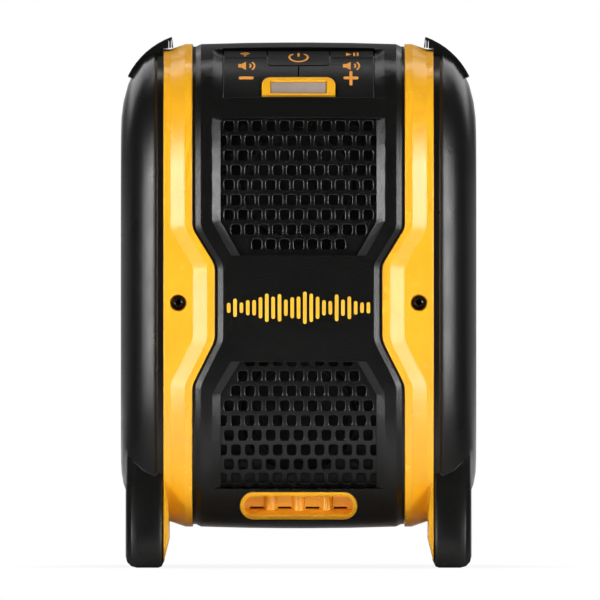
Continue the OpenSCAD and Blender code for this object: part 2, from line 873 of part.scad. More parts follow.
module hole_field(w, first, step, rows, odd, taper) {
    heights = row_heights(mid_z + first, step, rows);
    for (k = [0 : rows - 1]) {
        z = heights[k];
        shift = (k + odd) % 2 / 2;
        reach = field_half(w, taper, z);
        count = ceil(reach / pitch_x) + 1;
        for (i = [-count : count])
            if (abs((i + shift) * pitch_x) < reach)
                translate([(i + shift) * pitch_x, z]) polygon(rounded_points(hole_w, hole_h, hole_r));
    }
}

module grille(w, first, step, rows, odd, taper, span) {
    color(black_plastic) intersection() {
        difference() {
            outline_prism(-grille_drop, window_w / 2 + grille_margin);
            outline_prism(-grille_drop - grille_t, window_w / 2 + grille_margin + 1);
        }
        along(front_most - 1, mid_y - 20) difference() {
            intersection() {
                polygon(window_points(w[0], w[1], w[2], grille_margin));
                translate([-housing_w / 2, span[0]]) square([housing_w, span[1] - span[0]]);
            }
            hole_field(w, first, step, rows, odd, taper);
        }
    }
}

upper_rows = 9;
lower_rows = 10;
upper_first = 20;
lower_first = -37;
upper_taper = 1;
lower_taper = 0.72;
module upper_grille() {
    reach = [deck_end + deck_room + pocket_wall, deck_depth + deck_floor];
    pocket_low = deck_point[1] - reach[0] * sin(deck_lean) - reach[1] * cos(deck_lean);
    span = [mid_z, pocket_low - fit_gap];
    grille(upper_window, tall * upper_first, tall * pitch_z, upper_rows, 0, upper_taper, span);
}

module lower_grille() {
    port_top = port_z + port_h / 2;
    span = [port_top + 2 * fit_gap, mid_z];
    grille(lower_window, tall * lower_first, -tall * pitch_z, lower_rows, 1, lower_taper, span);
}

// Bumper rings: x, then the levels in depth, at the top and at the foot
bumper_start = housing_w / 2;
bumper_end = bumper_start + bumper_t;
bumper_arc_x = bumper_end - bumper_round;
bumper_crest = 3;
bumper_rise_angles = [80, 64, 48, 34, 20, 8, 0];
side_field_in = 6;
side_field_drop = 1.2;
ring_step = 6;

function bumper_arc(t) = [
    for (a = bumper_rise_angles) let (fall = 1 - sin(a)) [
        bumper_arc_x + (bumper_round - t) * cos(a),
        -bumper_crest - t - (bumper_round - t) * fall,
        -bumper_crest - t - (bumper_shoulder - t) * fall,
        -bumper_crest - t - (bumper_hip - t) * fall
    ]
];

function bumper_side(t) = [
    for (p = [[side_field_in, 0], [side_field_in + 2, side_field_drop]])
        concat([bumper_end - t - p[1]], [
            for (r = [bumper_round, bumper_shoulder, bumper_hip]) -bumper_crest - r - p[0]
        ])
];

function bumper_lip(t) =
    let (level = -bumper_lip_drop - t)
    [for (x = [0, bumper_lip_w]) [bumper_start + x, level, level, level]];

function bumper_rings(t) = concat(bumper_lip(t), bumper_arc(t), bumper_side(t));

function ring_grid(rings) = [
    for (r = rings) [
        for (a = [0 : ring_step : 360 - ring_step])
            let (q = side_point(a, r[1], a < 180 ? r[2] : r[3])) [r[0], q[0], q[1]]
    ]
];

// Raised pad: a band of arc over the bumper's shoulder
pad_centre = [bumper_end - bumper_shoulder, mid_z + body_h / 2 - bumper_crest - bumper_shoulder + 8];
pad_t = 5.5;
pad_angles = [26, 70];
pad_root_angle = 54;
pad_steps = 8;
pad_y = mid_y - 1;
pad_under = mid_z + body_h / 2 - band_drop + fit_gap;
pad_tip_x = housing_w / 2 - 4.4;
pad_tip_lift = 0.6;
pad_web_foot = pad_under - bumper_lip_drop - 2;
pad_skin = 1.2;
rib_t = 0.6;
rib_slots = 2;
function pad_point(a, r) = pad_centre + r * [cos(a), sin(a)];
function between(from, to, i, n) = from + (to - from) * i / n;
module pad_section() {
    difference() {
        polygon(concat(
            [for (i = [0 : pad_steps]) pad_point(between(pad_angles[0], pad_angles[1], i, pad_steps), pad_r)],
            [[pad_tip_x, pad_under + pad_tip_lift], [bumper_start, pad_under], [bumper_start, pad_web_foot]],
            [for (i = [0 : pad_steps])
                pad_point(between(pad_root_angle, pad_angles[0], i, pad_steps), pad_r - pad_t)]
        ));
        for (i = [0 : rib_slots - 1]) rib_slot(pad_tip_x + (2 * i + 1) * rib_t);
    }
}

// Slot between two ribs, open below, under the pad's skin
module rib_slot(x) {
    rise = sqrt(pow(pad_r - pad_skin, 2) - pow(x - pad_centre[0], 2));
    translate([x, pad_under - 1]) square([rib_t, pad_centre[1] + rise - pad_under + 1]);
}

pad_corner = 5;
pad_top = pad_centre[1] + pad_r * sin(pad_angles[1]);
module pad_side() {
    end = pad_len / 2;
    translate([pad_y, 0]) polygon([
        [-end, mid_z], [end, mid_z], [end, pad_top - pad_corner], [end - pad_corner / 2, pad_top + 0.1],
        [pad_corner / 2 - end, pad_top + 0.1], [-end, pad_top - pad_corner]
    ]);
}

leg_bevel = 5.5;
leg_edge = 2.6;
slice_t = 0.02;
module leg_slice(x, inset) {
    across(x, x + slice_t) polygon(leg_outline(inset));
}

module leg() {
    end = bumper_start + leg_t;
    hull() {
        for (a = [0, 40, 90]) leg_slice(bumper_start + leg_edge * (1 - sin(a)), leg_edge * (1 - cos(a)));
        for (a = [0, 30, 60, 90]) leg_slice(end - leg_bevel * (1 - sin(a)), leg_bevel * (1 - cos(a)));
    }
}

module bumper() {
    tip_x = bumper_end - side_field_drop;
    difference() {
        union() {
            cup(
                ring_grid(bumper_rings(0)),
                ring_grid(bumper_rings(bumper_wall)),
                [tip_x, mid_y, mid_z],
                [tip_x - bumper_wall, mid_y, mid_z]
            );
            leg();
            mirror([0, 1, 0]) leg();
            intersection() {
                along(pad_y - pad_len / 2, pad_y + pad_len / 2) pad_section();
                across(pad_tip_x - 1, bumper_end + pad_r) pad_side();
            }
            for (y = bumper_screw_ys, z = bumper_screw_zs)
                rod_across(y, z, bumper_start, bumper_end - bumper_wall + boss_sink, bumper_boss_r);
        }
        for (y = bumper_screw_ys, z = bumper_screw_zs)
            rod_across(y, z, bumper_start - 1, bumper_start + bumper_screw_len, screw_r + screw_gap);
    }
}

module right_bumper() { color(rubber) bumper(); }

module left_bumper() { color(rubber) mirror([1, 0, 0]) bumper(); }

port_proud = 0.6;
port_slope = 3.4;
port_slope_len = 9;
port_slot_h = 0.9;
module bass_port() {
    inner_w = port_w - 2 * port_wall;
    inner_h = port_h - 2 * port_wall;
    floor_z = port_z - inner_h / 2;
    slot_z = floor_z + port_slope;
    color(yellow_plastic) {
        difference() {
            union() {
                intersection() {
                    along(front_most, port_back_y + port_wall) stadium(port_w, port_h);
                    outline_prism(port_proud, port_w);
                }
                difference() {
                    intersection() {
                        outline_prism(-panel_t - fit_gap, port_w);
                        along(front_most, port_back_y)
                            stadium(port_w + 2 * port_flange, port_h + 2 * port_flange);
                    }
                    outline_prism(-panel_t - fit_gap - port_flange, port_w + 1);
                    block([-port_w, port_w], [front_most, mid_y], [port_z + port_h / 4, mid_z]);
                }
            }
            intersection() {
                along(front_most - 1, port_back_y) stadium(inner_w, inner_h);
                across(-port_w, port_w) polygon([
                    [front_most - 1, floor_z], [port_back_y - port_slope_len, floor_z], [port_back_y, slot_z],
                    [port_back_y, port_z + port_h], [front_most - 1, port_z + port_h]
                ]);
            }
            for (i = [-1.5 : 1.5]) translate([i * port_rib_pitch, 0, 0])
                block([-3.2, 3.2], [port_back_y - 1, port_back_y + 4], [slot_z, slot_z + port_slot_h]);
        }
        for (i = [-1 : 1]) intersection() {
            translate([i * port_rib_pitch, port_back_y, slot_z - 1]) cylinder(h = port_h, r = port_rib_r);
            along(front_most, port_back_y + port_wall / 2)
                stadium(inner_w + port_wall, inner_h + port_wall);
        }
    }
}

module baffle() {
    color(black_plastic) difference() {
        union() {
            block([-baffle_half, baffle_half], [baffle_y, baffle_back_y], [baffle_foot, baffle_top]);
            lip_y = front_y(baffle_top, -skin_drop - fit_gap) + fit_gap;
            boss_y = baffle_y + boss_sink;
            block([-baffle_half, baffle_half], [lip_y, boss_y], [baffle_top - baffle_lip_t, baffle_top]);
            both_sides()
                rod_along(front_screw_x, front_screw_z, collar_end_y + fit_gap, boss_y, front_boss_r);
            for (z = driver_zs) translate([0, 0, z]) driver_hole_spots()
                rod_along(0, 0, baffle_y - driver_boss_len, boss_y, driver_boss_r);
        }
        for (z = driver_zs) {
            rod_along(0, z, baffle_y - 1, baffle_back_y + 1, driver_r);
            translate([0, 0, z]) driver_hole_spots()
                rod_along(0, 0, baffle_y - driver_boss_len + 1, baffle_back_y + 1, screw_r + screw_gap);
        }
        both_sides()
            rod_along(front_screw_x, front_screw_z, front_most, baffle_back_y + 1, screw_r + screw_gap);
    }
}

// Buttons and indicator

module volume_up_button() { color(black_plastic) button(volume_spot) volume_outline(); }

module volume_down_button() { color(black_plastic) mirror([1, 0, 0]) button(volume_spot) volume_outline(); }

module power_button() { color(black_plastic) button(power_spot) power_outline(0); }

module play_button() { color(black_plastic) button(small_spot) small_outline(); }

module pairing_button() { color(black_plastic) mirror([1, 0, 0]) button(small_spot) small_outline(); }

bezel_proud = 0.3;
module indicator_bezel() {
    color(yellow_plastic) difference() {
        intersection() {
            deck() translate([0, 0, -deck_depth]) linear_extrude(2 * deck_depth) bezel_outline(0);
            outline_prism(bezel_proud, bezel_w);
        }
        deck() translate([0, 0, -deck_depth - 1]) linear_extrude(3 * deck_depth) lens_outline(0);
    }
}

lens_sink = 0.3;
module indicator_lens() {
    color(lens_grey) intersection() {
        deck() translate([0, 0, -deck_depth]) linear_extrude(2 * deck_depth) lens_outline(-seat_gap);
        outline_prism(-lens_sink, lens_w);
    }
}

module control_board() {
    w = deck_half;
    color(board_green) deck() difference() {
        block([-w, w], [-control_end, control_end], [-board_top - board_t, -board_top]);
        for (p = control_boss_spots) translate([p[0], p[1], -board_top - board_t - 1])
            cylinder(h = board_t + 2, r = board_screw_r + screw_gap);
    }
}

module tact_switches() {
    body = 6;
    plunger_h = 1;
    plunger_r = 1.6;
    color(dark_steel) deck() for (p = stem_spots) translate([p[0], p[1], -board_top]) {
        translate([-body / 2, -body / 2, 0]) cube([body, body, switch_h - plunger_h]);
        cylinder(h = switch_h, r = plunger_r);
    }
}

lamp_size = [6, 3.2, 1.2];
lamp_dome_h = 2.4;
lamp_dome_r = 1.3;
module status_lamp() {
    color("white") deck() translate([0, lens_foot + lens_h / 2, -board_top]) {
        translate([-lamp_size[0] / 2, -lamp_size[1] / 2, 0]) cube(lamp_size);
        cylinder(h = lamp_dome_h, r = lamp_dome_r);
    }
}

// Drivers, drawn with their axis along the depth, from the baffle's back face to the rear
gasket_t = 1;
flange_t = 2;
gasket_w = 2.2;
basket_r = 19;
basket_end = 20;
plate_r = 18;
gap_r = 7.2;
coil_r = 6.9;
coil_t = 0.6;
pole_r = 6;
frame_back = basket_end + 2;

module driver(z) {
    translate([0, baffle_back_y, z]) rotate([-90, 0, 0]) children();
}

module driver_gasket() {
    rotate_extrude() translate([driver_r, 0]) square([gasket_w, gasket_t]);
}

module driver_frame() {
    front = gasket_t + flange_t;
    inner = driver_r;
    difference() {
        union() {
            translate([0, 0, gasket_t + flange_t / 2])
                cube([driver_side, driver_side, flange_t], center = true);
            rotate_extrude() polygon([
                [inner, front - 0.5], [inner + 2, front - 0.5], [basket_r + 1.6, basket_end],
                [basket_r + 1.6, frame_back], [gap_r + 1, frame_back], [gap_r + 1, basket_end],
                [basket_r, basket_end]
            ]);
        }
        translate([0, 0, gasket_t - 1]) cylinder(h = front, r = inner);
        for (x = [-driver_hole, driver_hole], y = [-driver_hole, driver_hole])
            translate([x, y, 0]) cylinder(h = 10, r = screw_r + screw_gap);
        for (a = [0 : 90 : 270]) rotate(a) translate([0, 0, front + 3])
            rotate([0, 0, -24]) rotate_extrude(angle = 48)
                translate([basket_r - 3, 0]) square([18, basket_end - front - 6]);
    }
}

module driver_magnet() {
    rotate_extrude() polygon([
        [0, frame_back + 1], [pole_r, frame_back + 1], [pole_r, frame_back + 13], [10, frame_back + 13],
        [10, frame_back + 3], [gap_r, frame_back + 3], [gap_r, frame_back], [plate_r, frame_back],
        [plate_r, frame_back + 3], [plate_r + 2, frame_back + 3], [plate_r + 2, frame_back + 13],
        [plate_r, frame_back + 13], [plate_r, frame_back + 16], [0, frame_back + 16]
    ]);
}

cone_front = 2.4;
cone_back = 14.5;
cone_t = 0.7;
module driver_cone() {
    rotate_extrude() polygon([
        [cone_r, cone_front], [coil_r + 0.2, cone_back], [coil_r + 0.2, cone_back + cone_t],
        [cone_r, cone_front + cone_t]
    ]);
}

module driver_coil() {
    rotate_extrude() translate([coil_r - coil_t, cone_back + 0.4]) square([coil_t, 13]);
}

cap_rise = 3.2;
module driver_dust_cap() {
    r = coil_r + 2;
    seat = cone_back - 2.2;
    ball = (r * r + cap_rise * cap_rise) / (2 * cap_rise);
    steps = 6;
    edge = asin(r / ball);
    top = seat - cap_rise;
    outer = [
        for (i = [0 : steps]) let (a = edge * i / steps) [ball * sin(a), top + ball * (1 - cos(a))]
    ];
    inner = [for (i = [steps : -1 : 0]) [outer[i][0], outer[i][1] + cone_t]];
    rotate_extrude() polygon(concat(outer, inner));
}

module driver_surround() {
    r0 = cone_r + fit_gap;
    r1 = driver_r - fit_gap;
    roll = (r1 - r0) / 2 - 0.4;
    centre = (r0 + r1) / 2;
    base = cone_front;
    t = 0.6;
    rotate_extrude() {
        difference() {
            translate([centre, base]) circle(roll);
            translate([centre, base]) circle(roll - t);
            translate([r0 - 1, base]) square([r1 - r0 + 2, roll + 1]);
        }
        translate([r0, base - t]) square([centre - roll + t - r0, t]);
        translate([centre + roll - t, base - t]) square([r1 - centre - roll + t, t]);
    }
}

module driver_spider() {
    waves = 3;
    r0 = coil_r + fit_gap;
    r1 = basket_r - fit_gap;
    z = basket_end - 1.6;
    t = 0.6;
    n = 24;
    line = [for (i = [0 : n]) [r0 + (r1 - r0) * i / n, z + 0.5 * sin(360 * waves * i / n)]];
    rotate_extrude() polygon(concat(line, [for (i = [n : -1 : 0]) line[i] + [0, t]]));
}

module upper_driver_gasket() { color(rubber) driver(upper_driver_z) driver_gasket(); }
module upper_driver_frame() { color(dark_steel) driver(upper_driver_z) driver_frame(); }
module upper_driver_magnet() { color(steel) driver(upper_driver_z) driver_magnet(); }
module upper_driver_spider() { color(copper) driver(upper_driver_z) driver_spider(); }
module upper_voice_coil() { color(copper) driver(upper_driver_z) driver_coil(); }
module upper_cone() { color(paper_black) driver(upper_driver_z) driver_cone(); }
module upper_surround() { color(rubber) driver(upper_driver_z) driver_surround(); }
module upper_dust_cap() { color(paper_black) driver(upper_driver_z) driver_dust_cap(); }
module lower_driver_gasket() { color(rubber) driver(lower_driver_z) driver_gasket(); }
module lower_driver_frame() { color(dark_steel) driver(lower_driver_z) driver_frame(); }
module lower_driver_magnet() { color(steel) driver(lower_driver_z) driver_magnet(); }
module lower_driver_spider() { color(copper) driver(lower_driver_z) driver_spider(); }
module lower_voice_coil() { color(copper) driver(lower_driver_z) driver_coil(); }
module lower_cone() { color(paper_black) driver(lower_driver_z) driver_cone(); }
module lower_surround() { color(rubber) driver(lower_driver_z) driver_surround(); }
module lower_dust_cap() { color(paper_black) driver(lower_driver_z) driver_dust_cap(); }

// Rear panel with battery bay and socket pocket

hinge_z = high(hinge_rise);
barrel_r = 2;
hinge_y = rear_y(hinge_z, -barrel_r - 0.4);
pocket_depth = 12.5;
pocket_floor_y = rear_y(high(pocket_foot) + 10) - pocket_depth;
pocket_floor_t = 2.5;
pocket_z = [high(pocket_foot), hinge_z + barrel_r + 0.5];
socket_z = (pocket_z[0] + pocket_z[1]) / 2 - 1;
socket_board_y = pocket_floor_y - pocket_floor_t - 10.4 - board_t;
socket_post_x = pocket_w / 2 - 4;
socket_post_z = pocket_z[0] + 3.6;
audio_x = -pocket_w / 4 - 0.75;
power_x = 0;
usb_x = pocket_w / 4 - 0.25;
jack_proud = 0.5;
audio_nose_r = 4;
power_nose_r = 5;
usb_size = [14.5, 6.6];
usb_tongue = [11, 1.8];

module pocket_box(grow, from_y) {
    w = pocket_w / 2 + grow;
    block([-w, w], [from_y, rear_most + 5], pocket_z + [-1, 1] * grow);
}

rail_t = 3;
rail_y = bay_floor_y + 10.5;
module battery_rails() {
    both_sides() block(
        [bay_w / 2 - rail_w, bay_w / 2 + 0.5], [rail_y, rail_y + rail_t], [bay_z[0] + 6, bay_z[1] - 32]
    );
}

module rear_panel() {
    bay_half = bay_w / 2;
    color(black_plastic) {
        difference() {
            union() {
                panel_shell(rear_angles, rear_halves, seal_t, 0);
                intersection() {
                    union() {
                        block(
                            [-bay_half - bay_wall, bay_half + bay_wall],
                            [bay_floor_y - bay_wall, rear_most],
                            bay_z + [-1, 1] * bay_wall
                        );
                        pocket_box(pocket_wall, pocket_floor_y - pocket_floor_t);
                    }
                    outline_prism(-pocket_cap, panel_w / 2);
                }
                for (p = post_spots) rod_along(
                    p[0], p[1], bay_floor_y - bay_wall - post_len, bay_floor_y - bay_wall + 0.5, post_r
                );
                both_sides() rod_along(
                    socket_post_x, socket_post_z, socket_board_y + board_t,
                    pocket_floor_y - pocket_floor_t + 0.5, board_boss_r
                );
            }
            block([-bay_half, bay_half], [bay_floor_y, rear_most + 5], bay_z);
            pocket_box(0, pocket_floor_y);
            rod_across(hinge_y, hinge_z, -pocket_w / 2 - 1.6, pocket_w / 2 + 1.6, pin_r + pin_gap);
            rear_screw_spots() rod_along(0, 0, rear_seat_y, rear_most + 5, screw_head_r + 0.4);
            for (p = post_spots) rod_along(
                p[0], p[1], main_board_y, main_board_y + board_t + board_screw_len, board_screw_r + screw_gap
            );
            both_sides() rod_along(
                socket_post_x, socket_post_z, socket_board_y,
                socket_board_y + board_t + board_screw_len, board_screw_r + screw_gap
            );
            rod_along(audio_x, socket_z, pocket_floor_y - 5, pocket_floor_y + 1, audio_nose_r + fit_gap);
            rod_along(power_x, socket_z, pocket_floor_y - 5, pocket_floor_y + 1, power_nose_r + fit_gap);
            along(pocket_floor_y - 5, pocket_floor_y + 1) translate([usb_x, socket_z])
                square(usb_size + 2 * fit_gap * [1, 1], center = true);
        }
        battery_rails();
    }
}

cover_t = 2.6;
cover_gap = 0.5;
hinge_relief = 2.5;
module port_cover() {
    w = pocket_w / 2 - cover_gap;
    foot = pocket_z[0] + cover_gap;
    color(rubber) {
        intersection() {
            difference() {
                outline_prism(-seat_gap, w);
                outline_prism(-seat_gap - cover_t, w + 1);
                block(
                    [-w - 1, w + 1], [hinge_y + barrel_r, rear_most + 2],
                    [hinge_z - hinge_relief, hinge_z + 1]
                );
            }
            block([-w, w], [mid_y + rear_d / 2, rear_most + 2], [foot, hinge_z]);
        }
        rod_across(hinge_y, hinge_z, -w, w, barrel_r);
        rod_across(hinge_y, hinge_z, -w - cover_gap - 1.3, w + cover_gap + 1.3, pin_r);
        tab_y = rear_y(foot + 2, -seat_gap - cover_t / 2);
        block([-6, 6], [tab_y, tab_y + cover_t + 0.6], [foot, foot + 2.2]);
    }
}

module socket_board() {
    w = pocket_w / 2 - 1;
    color(board_green) difference() {
        block([-w, w], [socket_board_y, socket_board_y + board_t], [pocket_z[0] + 0.6, pocket_z[1] - 1]);
        both_sides() rod_along(
            socket_post_x, socket_post_z, socket_board_y - 1, socket_board_y + 5, board_screw_r + screw_gap
        );
    }
}

socket_back_y = socket_board_y + board_t;
socket_face_y = pocket_floor_y - pocket_floor_t;
module jack(x, nose_r, bore_r) {
    side = 2 * nose_r + 1;
    difference() {
        union() {
            block(
                [x - side / 2, x + side / 2], [socket_back_y, socket_face_y],
                [socket_z - side / 2, socket_z + side / 2]
            );
            rod_along(x, socket_z, socket_face_y - 0.1, pocket_floor_y + jack_proud, nose_r);
        }
        rod_along(x, socket_z, socket_back_y + 1.5, pocket_floor_y + jack_proud + 1, bore_r);
    }
}

module audio_jack() { color(paper_black) jack(audio_x, audio_nose_r, audio_r); }

module power_jack() {
    color(paper_black) {
        jack(power_x, power_nose_r, 3.2);
        rod_along(power_x, socket_z, socket_back_y + 1, pocket_floor_y - 0.5, 1);
    }
}

module usb_socket() {
    wall = 0.6;
    color(steel) {
        along(socket_back_y, pocket_floor_y + jack_proud) translate([usb_x, socket_z]) difference() {
            square(usb_size, center = true);
            square(usb_size - 2 * wall * [1, 1], center = true);
        }
        along(socket_back_y, socket_back_y + 1.5) translate([usb_x, socket_z])
            square(usb_size - wall * [1, 1], center = true);
        along(socket_back_y, pocket_floor_y - 1.5) translate([usb_x, socket_z + 1.2])
            square(usb_tongue, center = true);
    }
}

terminal_pitch = 9;
terminal_xs = terminal_pitch * [-1.5, -0.5, 0.5, 1.5];
terminal_half = 20;
terminal_h = 13;
terminal_proud = 1;
blade_t = 0.8;
blade_foot = 2;
blade_rise = 14;
blade_y = [bay_floor_y + bay_wall, rail_y - 1];
module terminal_block() {
    color(paper_black) difference() {
        block(
            [-terminal_half, terminal_half],
            [bay_floor_y, rail_y + terminal_proud],
            [bay_z[0], bay_z[0] + terminal_h]
        );
        for (x = terminal_xs) block(
            [x - blade_t / 2 - seat_gap, x + blade_t / 2 + seat_gap],
            blade_y,
            [bay_z[0] + blade_foot, bay_z[0] + terminal_h + 1]
        );
    }
}

module terminal_blades() {
    color(steel) for (x = terminal_xs) block(
        [x - blade_t / 2, x + blade_t / 2],
        blade_y + seat_gap * [1, -1],
        [bay_z[0] + blade_foot + seat_gap, bay_z[0] + terminal_h + blade_rise]
    );
}

module main_board() {
    color(board_green) difference() {
        block([-main_board_x, main_board_x], [main_board_y, main_board_y + board_t], main_board_z);
        for (p = post_spots) rod_along(
            p[0], p[1], main_board_y - 1, main_board_y + board_t + 1, board_screw_r + screw_gap
        );
    }
}

sink_in = 14;
sink_h = 30;
sink_z = [main_board_z[1] - sink_in - sink_h, main_board_z[1] - sink_in];
sink_half = 20;
fins = 7;
fin_t = 1.6;
fin_h = 11;
sink_base = 3;
module heat_sink() {
    base_y = main_board_y - sink_base;
    color(steel) {
        block([-sink_half, sink_half], [base_y, main_board_y], sink_z);
        for (i = [0 : fins - 1]) {
            x = -sink_half + i * (2 * sink_half - fin_t) / (fins - 1);
            block([x, x + fin_t], [base_y - fin_h, base_y + 0.5], sink_z);
        }
    }
}

can_r = 5;
can_h = 14;
can_pitch = 13;
cans_z = sink_z[0] - can_r - 3;
coil_size = [12, 6, 14];
coil_x = 14;
coil_drop = 28;
coils_z = cans_z - coil_drop;
chip_size = [10, 1.6, 14];
chip_z = coils_z - 2;
plug_size = [32, 7, 7];
plug_z = main_board_z[0] + 2;
module on_board(x, z, size) {
    block([x - size[0] / 2, x + size[0] / 2], [main_board_y - size[1], main_board_y], [z, z + size[2]]);
}

module board_components() {
    color(dark_steel) {
        for (i = [-1 : 1]) rod_along(i * can_pitch, cans_z, main_board_y - can_h, main_board_y, can_r);
        for (s = [-1, 1]) on_board(s * coil_x, coils_z, coil_size);
        on_board(0, chip_z, chip_size);
        on_board(0, plug_z, plug_size);
    }
}

// Screws: a head and a plain shank

module screw(head_r, head_h, r, length) {
    cylinder(h = head_h, r = head_r);
    translate([0, 0, -length]) cylinder(h = length + 0.5, r = r);
}

module front_screws() {
    color(dark_steel) both_sides() translate([front_screw_x, front_seat_y, front_screw_z])
        rotate([90, 0, 0]) screw(screw_head_r, screw_head_h, screw_r, front_screw_len);
}

module rear_screws() {
    color(dark_steel) rear_screw_spots() translate([0, rear_seat_y, 0])
        rotate([-90, 0, 0]) screw(screw_head_r, screw_head_h, screw_r, rear_screw_len);
}

module driver_screws() {
    seat = baffle_back_y + gasket_t + flange_t;
    length = gasket_t + flange_t + baffle_t + driver_boss_len - 2;
    color(dark_steel) for (z = driver_zs) translate([0, seat, z]) driver_hole_spots()
        rotate([-90, 0, 0]) screw(2.6, 1.8, screw_r, length);
}

module bumper_screws() {
    color(dark_steel) for (y = bumper_screw_ys, z = bumper_screw_zs) both_sides()
        translate([inner_half, y, z]) rotate([0, -90, 0])
            screw(screw_head_r, 2, screw_r, side_t + bumper_screw_len - 1);
}

module board_screws() {
    length = board_t + board_screw_len - 1;
    color(dark_steel) {
        deck() for (p = control_boss_spots) translate([p[0], p[1], -board_top - board_t])
            rotate([180, 0, 0]) screw(board_head_r, board_head_h, board_screw_r, length);
        for (p = post_spots) translate([p[0], main_board_y, p[1]])
            rotate([90, 0, 0]) screw(board_head_r, board_head_h, board_screw_r, length);
        both_sides() translate([socket_post_x, socket_board_y, socket_post_z])
            rotate([90, 0, 0]) screw(board_head_r, board_head_h, board_screw_r, length);
    }
}

front_housing();
rear_housing();
housing_seal();
front_panel();
rear_panel();
upper_grille();
lower_grille();
left_bumper();
right_bumper();
bass_port();
baffle();
volume_down_button();
volume_up_button();
power_button();
pairing_button();
play_button();
indicator_bezel();
indicator_lens();
control_board();
tact_switches();
status_lamp();
upper_driver_gasket();
upper_driver_frame();
upper_driver_magnet();
upper_driver_spider();
upper_voice_coil();
upper_cone();
upper_surround();
upper_dust_cap();
lower_driver_gasket();
lower_driver_frame();
lower_driver_magnet();
lower_driver_spider();
lower_voice_coil();
lower_cone();
lower_surround();
lower_dust_cap();
main_board();
board_components();
heat_sink();
terminal_block();
terminal_blades();
socket_board();
audio_jack();
power_jack();
usb_socket();
port_cover();
front_screws();
rear_screws();
driver_screws();
bumper_screws();
board_screws();
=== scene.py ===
import json
import math

import bmesh
import bpy
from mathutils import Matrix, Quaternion, Vector
from mathutils.bvhtree import BVHTree


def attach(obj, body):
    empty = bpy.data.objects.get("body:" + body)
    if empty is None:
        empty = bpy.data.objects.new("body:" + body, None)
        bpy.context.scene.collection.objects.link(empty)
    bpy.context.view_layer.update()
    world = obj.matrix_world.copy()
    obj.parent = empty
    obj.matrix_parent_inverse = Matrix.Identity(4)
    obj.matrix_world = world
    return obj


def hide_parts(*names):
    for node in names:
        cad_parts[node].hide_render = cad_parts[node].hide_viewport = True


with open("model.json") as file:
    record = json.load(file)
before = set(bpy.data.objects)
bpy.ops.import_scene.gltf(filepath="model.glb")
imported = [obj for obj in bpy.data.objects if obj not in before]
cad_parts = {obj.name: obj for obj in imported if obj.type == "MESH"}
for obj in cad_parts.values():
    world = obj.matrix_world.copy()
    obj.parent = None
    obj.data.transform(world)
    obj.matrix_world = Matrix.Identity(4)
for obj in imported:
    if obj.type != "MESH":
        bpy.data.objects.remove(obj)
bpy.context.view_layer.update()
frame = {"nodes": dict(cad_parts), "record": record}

nodes = frame["nodes"]
scene = bpy.context.scene
MM = 0.001

# Sizes that the looks share with the solids, in millimetres
BODY_H = 237.0
BODY_LIFT = 19.5
FRONT_D = 70.0
REAR_D = 50.0
SEAL_T = 1.0
PANEL_CROWN = 0.8
WAIST_HALF = 41.0
PANEL_GAP = 0.3
LIP_W = 1.3
FACET_W = 2.6
BUTTON_SINK = 1.0
DECK_LEAN = math.radians(45)
SQUARENESS = 4
MID_Y = (FRONT_D + PANEL_CROWN - REAR_D - SEAL_T) / 2
MID_Z = BODY_LIFT + BODY_H / 2


# The curved front: a superellipse in side view, and the deck's plane that touches it

def front_y(z, grow=0.0):
    """Depth of the front face at a height, at a level above the side outline."""
    share = 1 - (abs(z - MID_Z) / (BODY_H / 2 + grow)) ** SQUARENESS
    return MID_Y - (FRONT_D + grow) * max(share, 0.0) ** (1 / SQUARENESS)


def deck_origin():
    """Depth and height of the point where the front leans as the deck does."""
    ratio = (math.tan(DECK_LEAN) * FRONT_D / (BODY_H / 2)) ** (1 / (SQUARENESS - 1))
    t = math.atan(ratio ** (-SQUARENESS / 2))
    power = 2 / SQUARENESS
    y = MID_Y - FRONT_D * math.cos(t) ** power
    z = MID_Z + BODY_H / 2 * math.sin(t) ** power
    return y, z


DECK_Y, DECK_Z = deck_origin()
DECK_C, DECK_S = math.cos(DECK_LEAN), math.sin(DECK_LEAN)
LEVEL_LOW, LEVEL_HIGH = -20.0, 6.0
LEVEL_STEPS = 40


def deck_world(x, v, w):
    """Point of the control deck: x across, v up the slope, w out of the face."""
    return Vector((x, DECK_Y + v * DECK_C - w * DECK_S, DECK_Z + v * DECK_S + w * DECK_C))


def deck_level(v, grow):
    """Height w of the curved face above the deck's plane, by bisection."""
    low, high = LEVEL_LOW, LEVEL_HIGH
    for _ in range(LEVEL_STEPS):
        w = (low + high) / 2
        p = deck_world(0, v, w)
        inside = (abs(p.y - MID_Y) / (FRONT_D + grow)) ** SQUARENESS
        inside += (abs(p.z - MID_Z) / (BODY_H / 2 + grow)) ** SQUARENESS
        if inside < 1:
            low = w
        else:
            high = w
    return low


# Shader nodes, each made by a function that returns its output

MAP_SOCKETS = ("Value", "From Min", "From Max", "To Min", "To Max")
NOISE_LOW, NOISE_HIGH = 0.3, 0.7
BEVEL_SAMPLES = 6


def feed(tree, socket, value):
    """Set a socket to a number, or link it to another node's output."""
    if isinstance(value, bpy.types.NodeSocket):
        tree.links.new(value, socket)
    else:
        socket.default_value = value


def object_coords(tree):
    return tree.nodes.new("ShaderNodeTexCoord").outputs["Object"]


def parts_of(tree, vector):
    """X, Y and Z of a vector."""
    n = tree.nodes.new("ShaderNodeSeparateXYZ")
    tree.links.new(vector, n.inputs[0])
    return n.outputs


def mapped(tree, value, start, full, low=0.0, high=1.0):
    """A value mapped from one range to another, and held at its ends."""
    n = tree.nodes.new("ShaderNodeMapRange")
    for name, setting in zip(MAP_SOCKETS, (value, start, full, low, high)):
        feed(tree, n.inputs[name], setting)
    return n.outputs["Result"]


def joined(tree, operation, first, second):
    n = tree.nodes.new("ShaderNodeMath")
    n.operation = operation
    tree.links.new(first, n.inputs[0])
    tree.links.new(second, n.inputs[1])
    return n.outputs[0]


